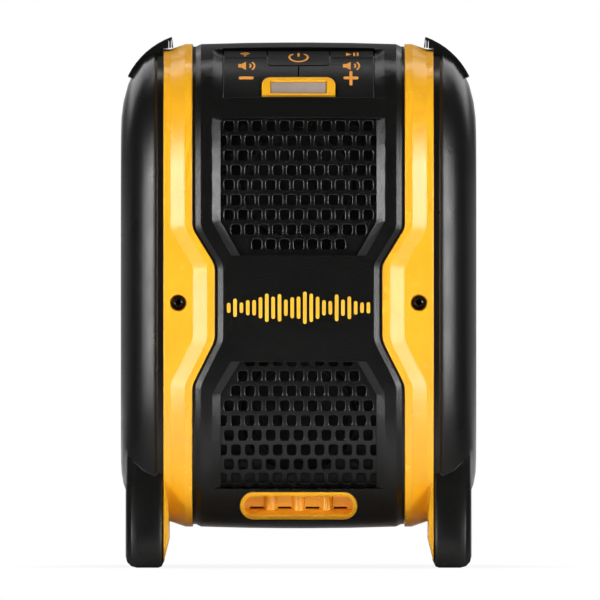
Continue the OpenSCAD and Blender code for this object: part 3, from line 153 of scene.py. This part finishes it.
def noise(tree, coords, scale, detail, rough=0.5):
    n = tree.nodes.new("ShaderNodeTexNoise")
    n.inputs["Scale"].default_value = scale
    n.inputs["Detail"].default_value = detail
    n.inputs["Roughness"].default_value = rough
    tree.links.new(coords, n.inputs["Vector"])
    return n.outputs["Fac"]


def two_tones(tree, fac, dark, light):
    """Colour that drifts between two tones over the middle of a noise."""
    n = tree.nodes.new("ShaderNodeValToRGB")
    stops = ((NOISE_LOW, dark), (NOISE_HIGH, light))
    for element, (position, color) in zip(n.color_ramp.elements, stops):
        element.position = position
        element.color = (*color, 1)
    tree.links.new(fac, n.inputs["Fac"])
    return n.outputs["Color"]


def soft_edges(tree, radius):
    n = tree.nodes.new("ShaderNodeBevel")
    n.samples = BEVEL_SAMPLES
    n.inputs["Radius"].default_value = radius
    return n.outputs["Normal"]


def bump(tree, height, distance, normal):
    n = tree.nodes.new("ShaderNodeBump")
    n.inputs["Strength"].default_value = 1.0
    n.inputs["Distance"].default_value = distance
    tree.links.new(height, n.inputs["Height"])
    tree.links.new(normal, n.inputs["Normal"])
    return n.outputs["Normal"]


# Materials, kept by name. Grain depth and edge radius are in metres

finish = {}
DRIFT_SCALE, DRIFT_DETAIL = 38.0, 4.0
PATCH_SCALE, PATCH_DETAIL = 90.0, 3.0
FINE_DETAIL, FINE_ROUGH = 2.0, 0.6
UP_START, UP_FULL = 0.80, 0.97
TOP_ROUGH = 0.55
METAL_GRAIN = 0.00002


def dulled_above(tree, roughness):
    """Roughness that rises on faces that look up, where dust settles."""
    normal = tree.nodes.new("ShaderNodeNewGeometry").outputs["Normal"]
    return mapped(tree, parts_of(tree, normal)["Z"], UP_START, UP_FULL, roughness, TOP_ROUGH)


def moulded(name, dark, light, rough, grain, grain_depth, specular, edge):
    """Moulded plastic or rubber: colour drift, roughness drift, fine texture, soft edges."""
    m = bpy.data.materials.new(name)
    m.use_nodes = True
    tree = m.node_tree
    shader = tree.nodes["Principled BSDF"]
    shader.inputs["Base Color"].default_value = (*dark, 1)
    shader.inputs["Roughness"].default_value = rough[0]
    shader.inputs["Specular IOR Level"].default_value = specular
    coords = object_coords(tree)
    drift = noise(tree, coords, DRIFT_SCALE, DRIFT_DETAIL)
    tree.links.new(two_tones(tree, drift, dark, light), shader.inputs["Base Color"])
    patch = noise(tree, coords, PATCH_SCALE, PATCH_DETAIL)
    roughness = mapped(tree, patch, NOISE_LOW, NOISE_HIGH, *rough)
    tree.links.new(dulled_above(tree, roughness), shader.inputs["Roughness"])
    fine = noise(tree, coords, grain, FINE_DETAIL, FINE_ROUGH)
    normal = bump(tree, fine, grain_depth, soft_edges(tree, edge))
    tree.links.new(normal, shader.inputs["Normal"])
    finish[name] = m
    return shader


def metal(name, dark, light, rough, grain, edge):
    shader = moulded(name, dark, light, rough, grain, METAL_GRAIN, specular=0.5, edge=edge)
    shader.inputs["Metallic"].default_value = 1.0


moulded(
    "yellow_plastic", dark=(0.92, 0.430, 0.013), light=(0.96, 0.460, 0.016), rough=(0.22, 0.28),
    grain=1500.0, grain_depth=0.00002, specular=0.6, edge=0.0012,
)
moulded(
    "black_plastic", dark=(0.0034, 0.0034, 0.0031), light=(0.0048, 0.0048, 0.0044), rough=(0.24, 0.27),
    grain=1400.0, grain_depth=0.00008, specular=0.5, edge=0.0004,
)
moulded(
    "grille_plastic", dark=(0.0034, 0.0034, 0.0031), light=(0.0046, 0.0046, 0.0042), rough=(0.23, 0.28),
    grain=2600.0, grain_depth=0.00004, specular=0.5, edge=0.0002,
)
moulded(
    "bumper_rubber", dark=(0.0040, 0.0040, 0.0037), light=(0.0055, 0.0055, 0.0051), rough=(0.27, 0.32),
    grain=3400.0, grain_depth=0.00002, specular=0.5, edge=0.0008,
)
moulded(
    "soft_rubber", dark=(0.007, 0.007, 0.007), light=(0.011, 0.011, 0.011), rough=(0.6, 0.75),
    grain=3000.0, grain_depth=0.00005, specular=0.3, edge=0.0003,
)
moulded(
    "button_rubber", dark=(0.0048, 0.0048, 0.0045), light=(0.0066, 0.0066, 0.0062), rough=(0.36, 0.44),
    grain=3000.0, grain_depth=0.00004, specular=0.34, edge=0.0004,
)
moulded(
    "component_black", dark=(0.008, 0.008, 0.009), light=(0.014, 0.014, 0.015), rough=(0.4, 0.55),
    grain=2500.0, grain_depth=0.00003, specular=0.4, edge=0.0002,
)
moulded(
    "circuit_board", dark=(0.008, 0.075, 0.030), light=(0.012, 0.10, 0.042), rough=(0.32, 0.45),
    grain=900.0, grain_depth=0.00003, specular=0.5, edge=0.0001,
)
moulded(
    "cone_paper", dark=(0.005, 0.005, 0.0054), light=(0.010, 0.010, 0.0108), rough=(0.7, 0.85),
    grain=1300.0, grain_depth=0.00012, specular=0.25, edge=0.0002,
)
moulded(
    "spider_cloth", dark=(0.30, 0.17, 0.06), light=(0.40, 0.24, 0.09), rough=(0.75, 0.9),
    grain=2200.0, grain_depth=0.00015, specular=0.2, edge=0.0002,
)
moulded(
    "print_orange", dark=(0.82, 0.33, 0.045), light=(0.90, 0.38, 0.055), rough=(0.5, 0.6),
    grain=3000.0, grain_depth=0.00001, specular=0.3, edge=0.00005,
)
moulded(
    "print_yellow", dark=(0.93, 0.46, 0.022), light=(0.97, 0.50, 0.028), rough=(0.42, 0.52),
    grain=3000.0, grain_depth=0.00001, specular=0.4, edge=0.00005,
)
metal(
    "dark_steel", dark=(0.06, 0.06, 0.062), light=(0.10, 0.10, 0.105), rough=(0.3, 0.45),
    grain=2000.0, edge=0.0002,
)
metal(
    "screw_steel", dark=(0.030, 0.028, 0.027), light=(0.046, 0.044, 0.042), rough=(0.22, 0.3),
    grain=2400.0, edge=0.0001,
)
metal(
    "bare_steel", dark=(0.52, 0.53, 0.55), light=(0.62, 0.63, 0.65), rough=(0.26, 0.4),
    grain=1800.0, edge=0.0002,
)
metal(
    "heat_sink_aluminium", dark=(0.60, 0.61, 0.62), light=(0.70, 0.71, 0.72), rough=(0.35, 0.5),
    grain=1600.0, edge=0.0002,
)
metal(
    "copper_winding", dark=(0.55, 0.22, 0.08), light=(0.68, 0.30, 0.12), rough=(0.3, 0.4),
    grain=2400.0, edge=0.0001,
)
lens_shader = moulded(
    "lens", dark=(0.36, 0.29, 0.245), light=(0.42, 0.345, 0.30), rough=(0.28, 0.36),
    grain=1200.0, grain_depth=0.00002, specular=0.5, edge=0.0003,
)
lens_shader.inputs["Coat Weight"].default_value = 0.4
lens_shader.inputs["Coat Roughness"].default_value = 0.15
moulded(
    "lamp_white", dark=(0.78, 0.78, 0.74), light=(0.84, 0.84, 0.80), rough=(0.3, 0.4),
    grain=1500.0, grain_depth=0.00002, specular=0.5, edge=0.0002,
)


# The solids take the finish that their record's slot names

SHELLS = ("front_housing", "rear_housing", "front_panel", "rear_panel")
BUTTONS = ("volume_down_button", "volume_up_button", "power_button", "pairing_button", "play_button")
SHELL_ANGLE, PIECE_ANGLE = 15, 26
WELD = 0.000004


def split_past(obj, angle):
    """Sharp edges only where faces turn by more than an angle."""
    split = obj.modifiers.new("split", "EDGE_SPLIT")
    split.split_angle = math.radians(angle)
    return split


def smooth_cad(obj, angle):
    """Shade a CAD node by its real curves: one vertex per corner, sharp only past the angle."""
    mesh = obj.data
    if "custom_normal" in mesh.attributes:
        mesh.attributes.remove(mesh.attributes["custom_normal"])
    mesh.polygons.foreach_set("use_smooth", [True] * len(mesh.polygons))
    weld = obj.modifiers.new("weld", "WELD")
    weld.merge_threshold = WELD
    split_past(obj, angle).use_edge_sharp = False


for part in frame["record"]["subparts"]:
    node = part["node"]
    obj = nodes[node]
    obj.data.materials.clear()
    obj.data.materials.append(finish["button_rubber" if node in BUTTONS else part["material_slot"]])
    smooth_cad(obj, SHELL_ANGLE if node in SHELLS else PIECE_ANGLE)


# New pieces

def to_object(name, bm, material, body):
    mesh = bpy.data.meshes.new(name)
    bm.to_mesh(mesh)
    bm.free()
    mesh.materials.append(finish[material])
    obj = bpy.data.objects.new(name, mesh)
    scene.collection.objects.link(obj)
    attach(obj, body)
    return obj


def smooth_piece(name, bm, material, node, angle):
    """A closed, smoothly shaded piece on the housing, in place of a node."""
    bmesh.ops.recalc_face_normals(bm, faces=bm.faces[:])
    for f in bm.faces:
        f.smooth = True
    obj = to_object(name, bm, material, "housing")
    split_past(obj, angle)
    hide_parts(node)


# Outlines of the printed signs, in millimetres on the face

CORNERS = ((1, 1), (-1, 1), (-1, -1), (1, -1))
LEAST_FLAT = 1e-4


def bar(cx, cv, w, h, r=0.0, steps=5):
    """Bar, with round corners where r is given."""
    r = min(r, w / 2 - LEAST_FLAT, h / 2 - LEAST_FLAT)
    if r <= 0:
        return [(cx - sx * w / 2, cv - sv * h / 2) for sx, sv in CORNERS]
    points = []
    for k, (sx, sv) in enumerate(CORNERS):
        corner_x = cx + sx * (w / 2 - r)
        corner_v = cv + sv * (h / 2 - r)
        for i in range(steps + 1):
            a = math.radians(90 * k + 90 * i / steps)
            points.append((corner_x + r * math.cos(a), corner_v + r * math.sin(a)))
    return points


def ring_strips(cx, cv, rx, rv, width, a0, a1, steps):
    """Ring sector as a row of convex pieces, its radii along x and v."""
    angles = [math.radians(a0 + (a1 - a0) * i / steps) for i in range(steps + 1)]
    outer = [(cx + rx * math.cos(a), cv + rv * math.sin(a)) for a in angles]
    inner = [(cx + (rx - width) * math.cos(a), cv + (rv - width) * math.sin(a)) for a in angles]
    return [[outer[i], outer[i + 1], inner[i + 1], inner[i]] for i in range(steps)]


HORN = [(-2.0, -1.1), (-0.1, -2.6), (-0.1, 2.6), (-2.0, 1.1)]
HORN_BACK = [(-3.4, -1.1), (-2.0, -1.1), (-2.0, 1.1), (-3.4, 1.1)]
HORN_WAVES = (1.9, 3.5)
HORN_WAVE_X, HORN_WAVE_W = 0.4, 0.75
HORN_WAVE_HALF = 48
HORN_SCALE = 1.15
WAVE_STEPS = 10


def loudspeaker(cx, cv):
    """Small loudspeaker sign with two waves."""
    k = HORN_SCALE
    shapes = [[(cx + k * x, cv + k * v) for x, v in outline] for outline in (HORN, HORN_BACK)]
    for r in HORN_WAVES:
        shapes += ring_strips(
            cx + HORN_WAVE_X * k, cv, r * k, r * k, HORN_WAVE_W * k,
            -HORN_WAVE_HALF, HORN_WAVE_HALF, WAVE_STEPS,
        )
    return shapes


# Printed films: a little above and below the face that they lie on

PRINT_UP = 0.06
WAIST_PRINT_UP = 0.015
PRINT_DOWN = 0.12
PRINT_SNAP = 0.002
STRIP = 1.0


def cut_flat(outlines):
    """Flat outlines joined in one mesh and cut into strips, as triangles."""
    flat = bmesh.new()
    for outline in outlines:
        flat.faces.new([flat.verts.new((x, v, 0)) for x, v in outline])
    flat.normal_update()
    bmesh.ops.reverse_faces(flat, faces=[f for f in flat.faces if f.normal.z < 0])
    bmesh.ops.remove_doubles(flat, verts=flat.verts[:], dist=PRINT_SNAP)
    heights = [v.co.y for v in flat.verts]
    cut = math.ceil(min(heights) / STRIP) * STRIP
    while cut < max(heights):
        bmesh.ops.bisect_plane(
            flat, geom=flat.verts[:] + flat.edges[:] + flat.faces[:], dist=PRINT_SNAP,
            plane_co=(0, cut, 0), plane_no=(0, 1, 0),
        )
        cut += STRIP
    bmesh.ops.triangulate(flat, faces=flat.faces[:])
    return flat


def print_mesh(outlines, place, up=PRINT_UP):
    """Thin closed film of flat outlines, laid on a curved face by place(x, v, lift)."""
    flat = cut_flat(outlines)
    bm = bmesh.new()
    top = {v: bm.verts.new(place(v.co.x, v.co.y, up) * MM) for v in flat.verts}
    under = {v: bm.verts.new(place(v.co.x, v.co.y, -PRINT_DOWN) * MM) for v in flat.verts}
    for f in flat.faces:
        bm.faces.new([top[v] for v in f.verts])
        bm.faces.new([under[v] for v in reversed(f.verts)])
    for e in flat.edges:
        if len(e.link_faces) == 1:
            a, b = e.link_loops[0].vert, e.link_loops[0].link_loop_next.vert
            bm.faces.new([top[b], top[a], under[a], under[b]])
    flat.free()
    bmesh.ops.recalc_face_normals(bm, faces=bm.faces[:])
    return bm


# Signs on the buttons

VOLUME_X = 25.6
SIGN_V = -6.4
MARK_V = 1.5
SIGN_LEN, SIGN_W = 7.4, 1.6
ARM_RISE, ARM_LEN, ARM_W, ARM_R = 2.5, 3.4, 1.5, 0.6
POWER_V = 9.0
POWER_RING_V = POWER_V - 0.4
POWER_RX, POWER_RV = 5.0, 4.4
POWER_LINE = 1.0
POWER_FROM, POWER_TO = 125, 415
POWER_STEPS = 40
STEM_RISE, STEM_LEN, STEM_W, STEM_R = 2.2, 4.0, 1.1, 0.5
SMALL_X = 26.2
SMALL_V = 11.6
DOT_V = SMALL_V - 1.6
DOT, DOT_R = 1.1, 0.5
RADIO_WAVES = (1.9, 3.2)
RADIO_TALL = 1.15
RADIO_LINE = 0.7
RADIO_FROM, RADIO_TO = 40, 140
PLAY_BACK, PLAY_TIP, PLAY_HALF = 3.0, 0.2, 1.9
PAUSE_XS = (1.0, 2.7)
PAUSE_W = 0.9


def on_button(x, v, lift):
    return deck_world(x, v, deck_level(v, lift - BUTTON_SINK))


def button_print(body, outlines):
    to_object(f"{body}_print", print_mesh(outlines, on_button), "print_orange", body)


minus = [bar(-VOLUME_X, SIGN_V, SIGN_LEN, SIGN_W, SIGN_W / 2)]
button_print("volume_down", minus + loudspeaker(-VOLUME_X, MARK_V))

plus = [bar(VOLUME_X, SIGN_V, SIGN_LEN, SIGN_W, SIGN_W / 2)]
plus += [bar(VOLUME_X, SIGN_V + rise, ARM_W, ARM_LEN, ARM_R) for rise in (ARM_RISE, -ARM_RISE)]
button_print("volume_up", plus + loudspeaker(VOLUME_X, MARK_V))

power_sign = ring_strips(
    0, POWER_RING_V, POWER_RX, POWER_RV, POWER_LINE, POWER_FROM, POWER_TO, POWER_STEPS,
)
power_sign.append(bar(0, POWER_V + STEM_RISE, STEM_W, STEM_LEN, STEM_R))
button_print("power", power_sign)

pairing_sign = [bar(-SMALL_X, DOT_V, DOT, DOT, DOT_R)]
for r in RADIO_WAVES:
    pairing_sign += ring_strips(
        -SMALL_X, DOT_V, r, r * RADIO_TALL, RADIO_LINE, RADIO_FROM, RADIO_TO, WAVE_STEPS,
    )
button_print("pairing", pairing_sign)

play_sign = [[
    (SMALL_X - PLAY_BACK, SMALL_V - PLAY_HALF), (SMALL_X - PLAY_TIP, SMALL_V),
    (SMALL_X - PLAY_BACK, SMALL_V + PLAY_HALF),
]]
play_sign += [bar(SMALL_X + x, SMALL_V, PAUSE_W, 2 * PLAY_HALF) for x in PAUSE_XS]
button_print("play", play_sign)


# A row of level bars stands on the waist

BARS = 23
BAR_PITCH = 3.1
BAR_W = 1.75
BAR_STEPS = 4
BAR_Z = 127.0
BAR_LEAST, BAR_BASE, BAR_SWING = 3.0, 4.0, 11.0
BAR_TAPER = 0.72
BAR_WAVES = ((1.9, 0.0, 0.55), (0.83, 0.6, 0.45))
CROWN_KNEE = 0.75


def crown_at(x):
    """Level of the panel's crowned field at its waist: flat in the middle, then down two slopes."""
    edge = WAIST_HALF - PANEL_GAP
    stops = [
        (edge / 8, PANEL_CROWN), (edge / 2, CROWN_KNEE * PANEL_CROWN), (edge - LIP_W - FACET_W, 0.0),
    ]
    x = abs(x)
    if x <= stops[0][0]:
        return stops[0][1]
    for (x0, g0), (x1, g1) in zip(stops, stops[1:]):
        if x <= x1:
            return g0 + (g1 - g0) * (x - x0) / (x1 - x0)
    return 0.0


def on_waist(x, z, lift):
    return Vector((x, front_y(z, crown_at(x) + lift), z))


def level_bar(i):
    """One bar of the row: two waves set its height, which falls off to both ends."""
    half = (BARS - 1) / 2
    t = (i - half) / half
    wave = abs(sum(math.sin(i * rate + start) * share for rate, start, share in BAR_WAVES))
    height = BAR_LEAST + (BAR_BASE + BAR_SWING * wave) * (1 - BAR_TAPER * t * t)
    return bar(t * BAR_PITCH * half, BAR_Z, BAR_W, height, BAR_W / 2, BAR_STEPS)


waist_print = print_mesh([level_bar(i) for i in range(BARS)], on_waist, WAIST_PRINT_UP)
to_object("waist_level_bars", waist_print, "print_yellow", "housing")


# Grilles with a lead-in around each hole, in metres

LEAD_W = 0.00036
LEAD_D = 0.00018
# A hole close to the plate's end takes a third or a tenth of the width
LEAD_PARTS = (1, 3, 10)
SIGHT = 1.0
FACING = 0.5
MITRE_LEAST = 0.5
GRILLE_ANGLE = 12


def face_loops(bm):
    """Edge loops of the front face, with the plate on their left side."""
    # Walked as a list, because a set of faces has another order in every run
    front = [f for f in bm.faces if f.normal.y < -FACING]
    members = set(front)
    follow = {}
    for f in front:
        for corner in f.loops:
            if any(g not in members for g in corner.edge.link_faces):
                follow[corner.vert] = corner.link_loop_next.vert
    loops = []
    while follow:
        first, v = follow.popitem()
        loop = [first]
        while v is not first:
            loop.append(v)
            v = follow.pop(v)
        loops.append([u.co.copy() for u in loop])
    return loops


def area(loop):
    """Area of a loop seen from the front, below zero for a hole."""
    return sum(a.x * b.z - b.x * a.z for a, b in zip(loop, loop[1:] + loop[:1])) / 2


def widened(loop, by):
    """Points of a loop, moved to its left in the face's plane."""
    points = []
    for i, p in enumerate(loop):
        before, after = p - loop[i - 1], loop[(i + 1) % len(loop)] - p
        left = [Vector((-d.z, 0, d.x)).normalized() for d in (before, after)]
        middle = (left[0] + left[1]).normalized()
        points.append(p + middle * (by / max(middle.dot(left[0]), MITRE_LEAST)))
    return points


def filled(bm, rings):
    """Faces between flat rings of vertices, the first one outside."""
    flat = bmesh.new()
    owner = {}
    for ring in rings:
        spots = [flat.verts.new((v.co.x, v.co.z, 0)) for v in ring]
        owner.update(zip(spots, ring))
        for a, b in zip(spots, spots[1:] + spots[:1]):
            flat.edges.new((a, b))
    bmesh.ops.triangle_fill(flat, use_beauty=True, edges=flat.edges[:], normal=(0, 0, 1))
    for f in flat.faces:
        bm.faces.new([owner[v] for v in f.verts])
    flat.free()


def strip(bm, a, b):
    """Faces between two closed rings with the same number of vertices."""
    for i in range(len(a)):
        bm.faces.new([a[i - 1], a[i], b[i], b[i - 1]])


def set_back(bm, loop, depth):
    """Vertices of a loop, moved back into the plate."""
    return [bm.verts.new((p.x, p.y + depth, p.z)) for p in loop]


def met(surface, points, side):
    """Points of a surface, seen from the front (-1) or the back (1)."""
    return [surface.ray_cast(Vector((p.x, side * SIGHT, p.z)), Vector((0, -side, 0)))[0] for p in points]


def lead_in(surface, loop):
    """Outer edge of a hole's lead-in, narrower where the plate ends close by, and the back behind it."""
    for part in LEAD_PARTS:
        wide = widened(loop, LEAD_W / part)
        near, far = met(surface, wide, -1), met(surface, wide, 1)
        if None not in near + far:
            return near, far
    return wide, far


def led_in_grille(name, node):
    """Plate with a node's outline and holes, and a lead-in around each hole.

    Each hole is as deep as the node is at one point of its edge. A hole without such a reading, and
    the outline, take the last one, so the plate's back only comes close to the node's.
    """
    source = bmesh.new()
    source.from_mesh(nodes[node].data)
    bmesh.ops.remove_doubles(source, verts=source.verts[:], dist=WELD)
    source.normal_update()
    surface = BVHTree.FromBMesh(source)
    outside, *holes = sorted(face_loops(source), key=area, reverse=True)
    bm = bmesh.new()
    front_rings, back_rings = [], []
    for loop in holes:
        near, far = lead_in(surface, loop)
        if None not in far:
            depth = far[0].y - near[0].y
        outer = [bm.verts.new(p) for p in near]
        inner = set_back(bm, loop, LEAD_D)
        back = set_back(bm, loop, depth)
        strip(bm, outer, inner)
        strip(bm, inner, back)
        front_rings.append(outer)
        back_rings.append(back)
    outline = [bm.verts.new(p) for p in outside]
    behind = set_back(bm, outside, depth)
    strip(bm, outline, behind)
    filled(bm, [outline] + front_rings)
    filled(bm, [behind] + back_rings)
    source.free()
    smooth_piece(name, bm, "grille_plastic", node, GRILLE_ANGLE)


led_in_grille("upper_grille_plate", "upper_grille")
led_in_grille("lower_grille_plate", "lower_grille")


# Screws with a domed head, a six-lobed recess and thread turns, in millimetres

HEAD_R = 3.5
HEAD_H = 3.0
SHANK_R = 1.5
ROOT_R = SHANK_R * 0.86
TIP_R = SHANK_R * 0.5
FRONT_LEN, REAR_LEN = 12.4, 21.9
TIP_LEN = 0.8
THREAD_PITCH = 1.0
THREAD_START, THREAD_SPARE = 1.0, 1.5
CREST, VALLEY = 0.35, 0.7
NECK = 0.05
RING = 48
DOME_EDGE = 52
DOME_RINGS = 7
DOME_R = HEAD_R / math.sin(math.radians(DOME_EDGE))
LOBES = 6
LOBE_R = HEAD_R * 0.42
RECESS_EDGE = LOBE_R * 1.25
# Radius and lobe height of the recess, as shares of the lobes' radius, from its rim down to its point
RECESS = ((1.0, 0.2), (0.9, 0.19), (0.86, 0.18), (0.1, 0.0))
RECESS_LIP, RECESS_WALL, RECESS_POINT = 0.15, 1.3, 2.7
SCREW_ANGLE = 35
SCREW_APART = 9


def dome(r):
    """Height of the domed head at a radius."""
    return HEAD_H - DOME_R + math.sqrt(DOME_R ** 2 - r ** 2)


def head_rings():
    """Rings of a screw's head, from its edge to the point of the recess."""
    rings = []
    for k in range(DOME_RINGS):
        r = HEAD_R + (RECESS_EDGE - HEAD_R) * k / (DOME_RINGS - 1)
        rings.append((r, dome(r), 0.0))
    rim = dome(LOBE_R)
    heights = (rim, rim - RECESS_LIP, HEAD_H - RECESS_WALL, HEAD_H - RECESS_POINT)
    rings += [(LOBE_R * r, height, LOBE_R * star) for (r, star), height in zip(RECESS, heights)]
    return rings


def shank_rings(length):
    """Rings of a screw's shank, from its tip to the head: radius, height above the seat, lobe height."""
    rings = [(TIP_R, -length, 0.0), (ROOT_R, -length + TIP_LEN, 0.0)]
    for k in range(int((length - THREAD_SPARE) / THREAD_PITCH)):
        base = -length + THREAD_START + k * THREAD_PITCH
        rings += [(ROOT_R, base, 0.0), (SHANK_R, base + CREST, 0.0), (ROOT_R, base + VALLEY, 0.0)]
    return rings + [(ROOT_R, -NECK, 0.0), (HEAD_R, 0.0, 0.0)]


def screw_mesh(bm, seat, direction, length):
    """One screw, from its seat along its axis."""
    z = Vector(direction)
    x = z.orthogonal().normalized()
    y = z.cross(x)
    rings = []
    for radius, height, star in shank_rings(length) + head_rings():
        ring = []
        for i in range(RING):
            a = 2 * math.pi * i / RING
            r = radius + star * math.cos(LOBES * a)
            p = Vector(seat) + (x * math.cos(a) + y * math.sin(a)) * r + z * height
            ring.append(bm.verts.new(p * MM))
        rings.append(ring)
    for a, b in zip(rings, rings[1:]):
        strip(bm, a, b)
    bm.faces.new(list(reversed(rings[0])))
    bm.faces.new(rings[-1])


def screw_points(node):
    """Points of each screw of a node, told apart by their place in the face."""
    groups = []
    for v in nodes[node].data.vertices:
        p = [c / MM for c in v.co]
        near = [g for g in groups if all(abs(g[0][k] - p[k]) < SCREW_APART for k in (0, 2))]
        if near:
            near[0].append(p)
        else:
            groups.append([p])
    return groups


def screws(name, node, side, length):
    """Screws of a node on the front (-1) or the back (1), each seated under the head of its solid."""
    bm = bmesh.new()
    for points in screw_points(node):
        x, z = [(min(p[k] for p in points) + max(p[k] for p in points)) / 2 for k in (0, 2)]
        top = side * max(side * p[1] for p in points)
        screw_mesh(bm, (x, top - side * HEAD_H, z), (0, side, 0), length)
    smooth_piece(name, bm, "screw_steel", node, SCREW_ANGLE)


screws("star_screws_front", "front_screws", -1, FRONT_LEN)
screws("star_screws_rear", "rear_screws", 1, REAR_LEN)


# Studio: white floor and background. Distances on the floor are in metres from the object's middle

FLOOR_SIZE = 120.0
FLOOR_TONE = 0.86
SHADOW_FROM, SHADOW_TO = 0.10, 0.15
SHADOW_WHITE = 0.88
MIRROR_FROM, MIRROR_TO = 0.15, 0.32
MIRROR_NEAR, MIRROR_FAR = 0.48, 0.10
FLOOR_BEHIND = (0.2, 0.8)
ROOM_BEHIND = (0.94, 1.0)
ROOM_LIGHT = 0.05
WHITE = (1, 1, 1, 1)


def stage_plane(name, size):
    mesh = bpy.data.meshes.new(name)
    s = size / 2
    corners = [(sx * s, sy * s, 0.0) for sx, sy in ((-1, -1), (1, -1), (1, 1), (-1, 1))]
    mesh.from_pydata(corners, [], [(0, 1, 2, 3)])
    obj = bpy.data.objects.new(name, mesh)
    scene.collection.objects.link(obj)
    return obj


def white_rays(tree, depth, start, full):
    """Share of the white background: all for the camera, and behind the object for mirrored rays."""
    path = tree.nodes.new("ShaderNodeLightPath").outputs
    mirrored = joined(tree, "MULTIPLY", path["Is Glossy Ray"], mapped(tree, depth, start, full))
    direct = joined(tree, "MAXIMUM", path["Is Camera Ray"], path["Is Transmission Ray"])
    return joined(tree, "MAXIMUM", direct, mirrored)


def light_shader(tree, kind, strength):
    n = tree.nodes.new(kind)
    n.inputs["Color"].default_value = WHITE
    n.inputs["Strength"].default_value = strength
    return n.outputs[0]


def mixed_output(tree, kind, share, first, second):
    """Two shaders mixed by a share, as the tree's output."""
    mix = tree.nodes.new("ShaderNodeMixShader")
    tree.links.new(share, mix.inputs["Fac"])
    tree.links.new(first, mix.inputs[1])
    tree.links.new(second, mix.inputs[2])
    tree.links.new(mix.outputs[0], tree.nodes.new(kind).inputs["Surface"])


def emptied(block):
    """Node tree of a material or world, with nothing in it."""
    block.use_nodes = True
    block.node_tree.nodes.clear()
    return block.node_tree


def studio_floor():
    """White for the camera with a faint shadow near the object, and grey where it is mirrored."""
    material = bpy.data.materials.new("studio_floor")
    tree = emptied(material)
    coords = object_coords(tree)
    length = tree.nodes.new("ShaderNodeVectorMath")
    length.operation = "LENGTH"
    tree.links.new(coords, length.inputs[0])
    reach = length.outputs["Value"]
    glossy = tree.nodes.new("ShaderNodeLightPath").outputs["Is Glossy Ray"]
    mirrored = mapped(tree, reach, MIRROR_FROM, MIRROR_TO, MIRROR_NEAR, MIRROR_FAR)
    diffuse = tree.nodes.new("ShaderNodeBsdfDiffuse")
    tree.links.new(mapped(tree, glossy, 0.0, 1.0, FLOOR_TONE, mirrored), diffuse.inputs["Color"])
    white = white_rays(tree, parts_of(tree, coords)["Y"], *FLOOR_BEHIND)
    fade = mapped(tree, reach, SHADOW_FROM, SHADOW_TO, SHADOW_WHITE, 1.0)
    share = joined(tree, "MULTIPLY", white, fade)
    glow = light_shader(tree, "ShaderNodeEmission", 1.0)
    mixed_output(tree, "ShaderNodeOutputMaterial", share, diffuse.outputs[0], glow)
    stage_plane("studio_floor", FLOOR_SIZE).data.materials.append(material)


def studio_room():
    """Dim room around the object, white for the camera and behind."""
    world = bpy.data.worlds.new("studio")
    scene.world = world
    tree = emptied(world)
    heading = tree.nodes.new("ShaderNodeTexCoord").outputs["Generated"]
    share = white_rays(tree, parts_of(tree, heading)["Y"], *ROOM_BEHIND)
    room = light_shader(tree, "ShaderNodeBackground", ROOM_LIGHT)
    white = light_shader(tree, "ShaderNodeBackground", 1.0)
    mixed_output(tree, "ShaderNodeOutputWorld", share, room, white)


studio_floor()
studio_room()


# Soft boxes, around a point in the middle of the object

TARGET = Vector((0, 0, 0.13))
WASH_PLACE = (0, -0.39, 1.2)
WASH_SPREAD = math.radians(30)
DOWN = Quaternion((1, 0, 0, 0))


def area_lamp(name, place, turn, size, watts):
    light = bpy.data.lights.new(name, "AREA")
    light.shape = "RECTANGLE"
    light.size, light.size_y = size
    light.energy = watts
    obj = bpy.data.objects.new(name, light)
    obj.location = place
    obj.rotation_mode = "QUATERNION"
    obj.rotation_quaternion = turn
    scene.collection.objects.link(obj)
    return light


def soft_box(name, azimuth, elevation, distance, size, watts):
    """Lamp at an azimuth from the front, to the right, and an elevation, turned to the target."""
    a, e = math.radians(azimuth), math.radians(elevation)
    away = Vector((math.sin(a) * math.cos(e), -math.cos(a) * math.cos(e), math.sin(e)))
    area_lamp(name, TARGET + away * distance, away.to_track_quat("Z", "Y"), size, watts)


def soft_pair(name, azimuth, **settings):
    """The same lamp on both sides."""
    soft_box(f"{name}_left", -azimuth, **settings)
    soft_box(f"{name}_right", azimuth, **settings)


soft_pair("box", azimuth=43, elevation=3, distance=1.5, size=(0.24, 0.6), watts=9)
soft_box("box_top", azimuth=0, elevation=90, distance=1.6, size=(1.2, 0.3), watts=5)
soft_pair("box_rear", azimuth=140, elevation=30, distance=1.7, size=(1.2, 1.0), watts=6.5)
soft_pair("box_high", azimuth=105, elevation=58, distance=1.7, size=(0.9, 0.6), watts=4.5)
area_lamp("floor_wash", WASH_PLACE, DOWN, size=(0.9, 0.12), watts=4).spread = WASH_SPREAD


# Camera: straight at the front, at half height, far off

CAMERA_X, CAMERA_D, CAMERA_Z = 0.0007, 12.0, 0.1308
FRONT_PLANE = -0.055
FRAME_PX = 600
PX_MM = 0.4885
SENSOR = 36.0
CLIP_END = 400
camera_data = bpy.data.cameras.new("camera")
camera = bpy.data.objects.new("camera", camera_data)
scene.collection.objects.link(camera)
camera_data.sensor_width = SENSOR
camera_data.lens = SENSOR * (CAMERA_D + FRONT_PLANE) / (FRAME_PX * PX_MM * MM)
camera_data.clip_end = CLIP_END
camera.location = (CAMERA_X, -CAMERA_D, CAMERA_Z)
camera.rotation_euler = (math.radians(90), 0, 0)
scene.camera = camera
scene.view_settings.view_transform = "Standard"
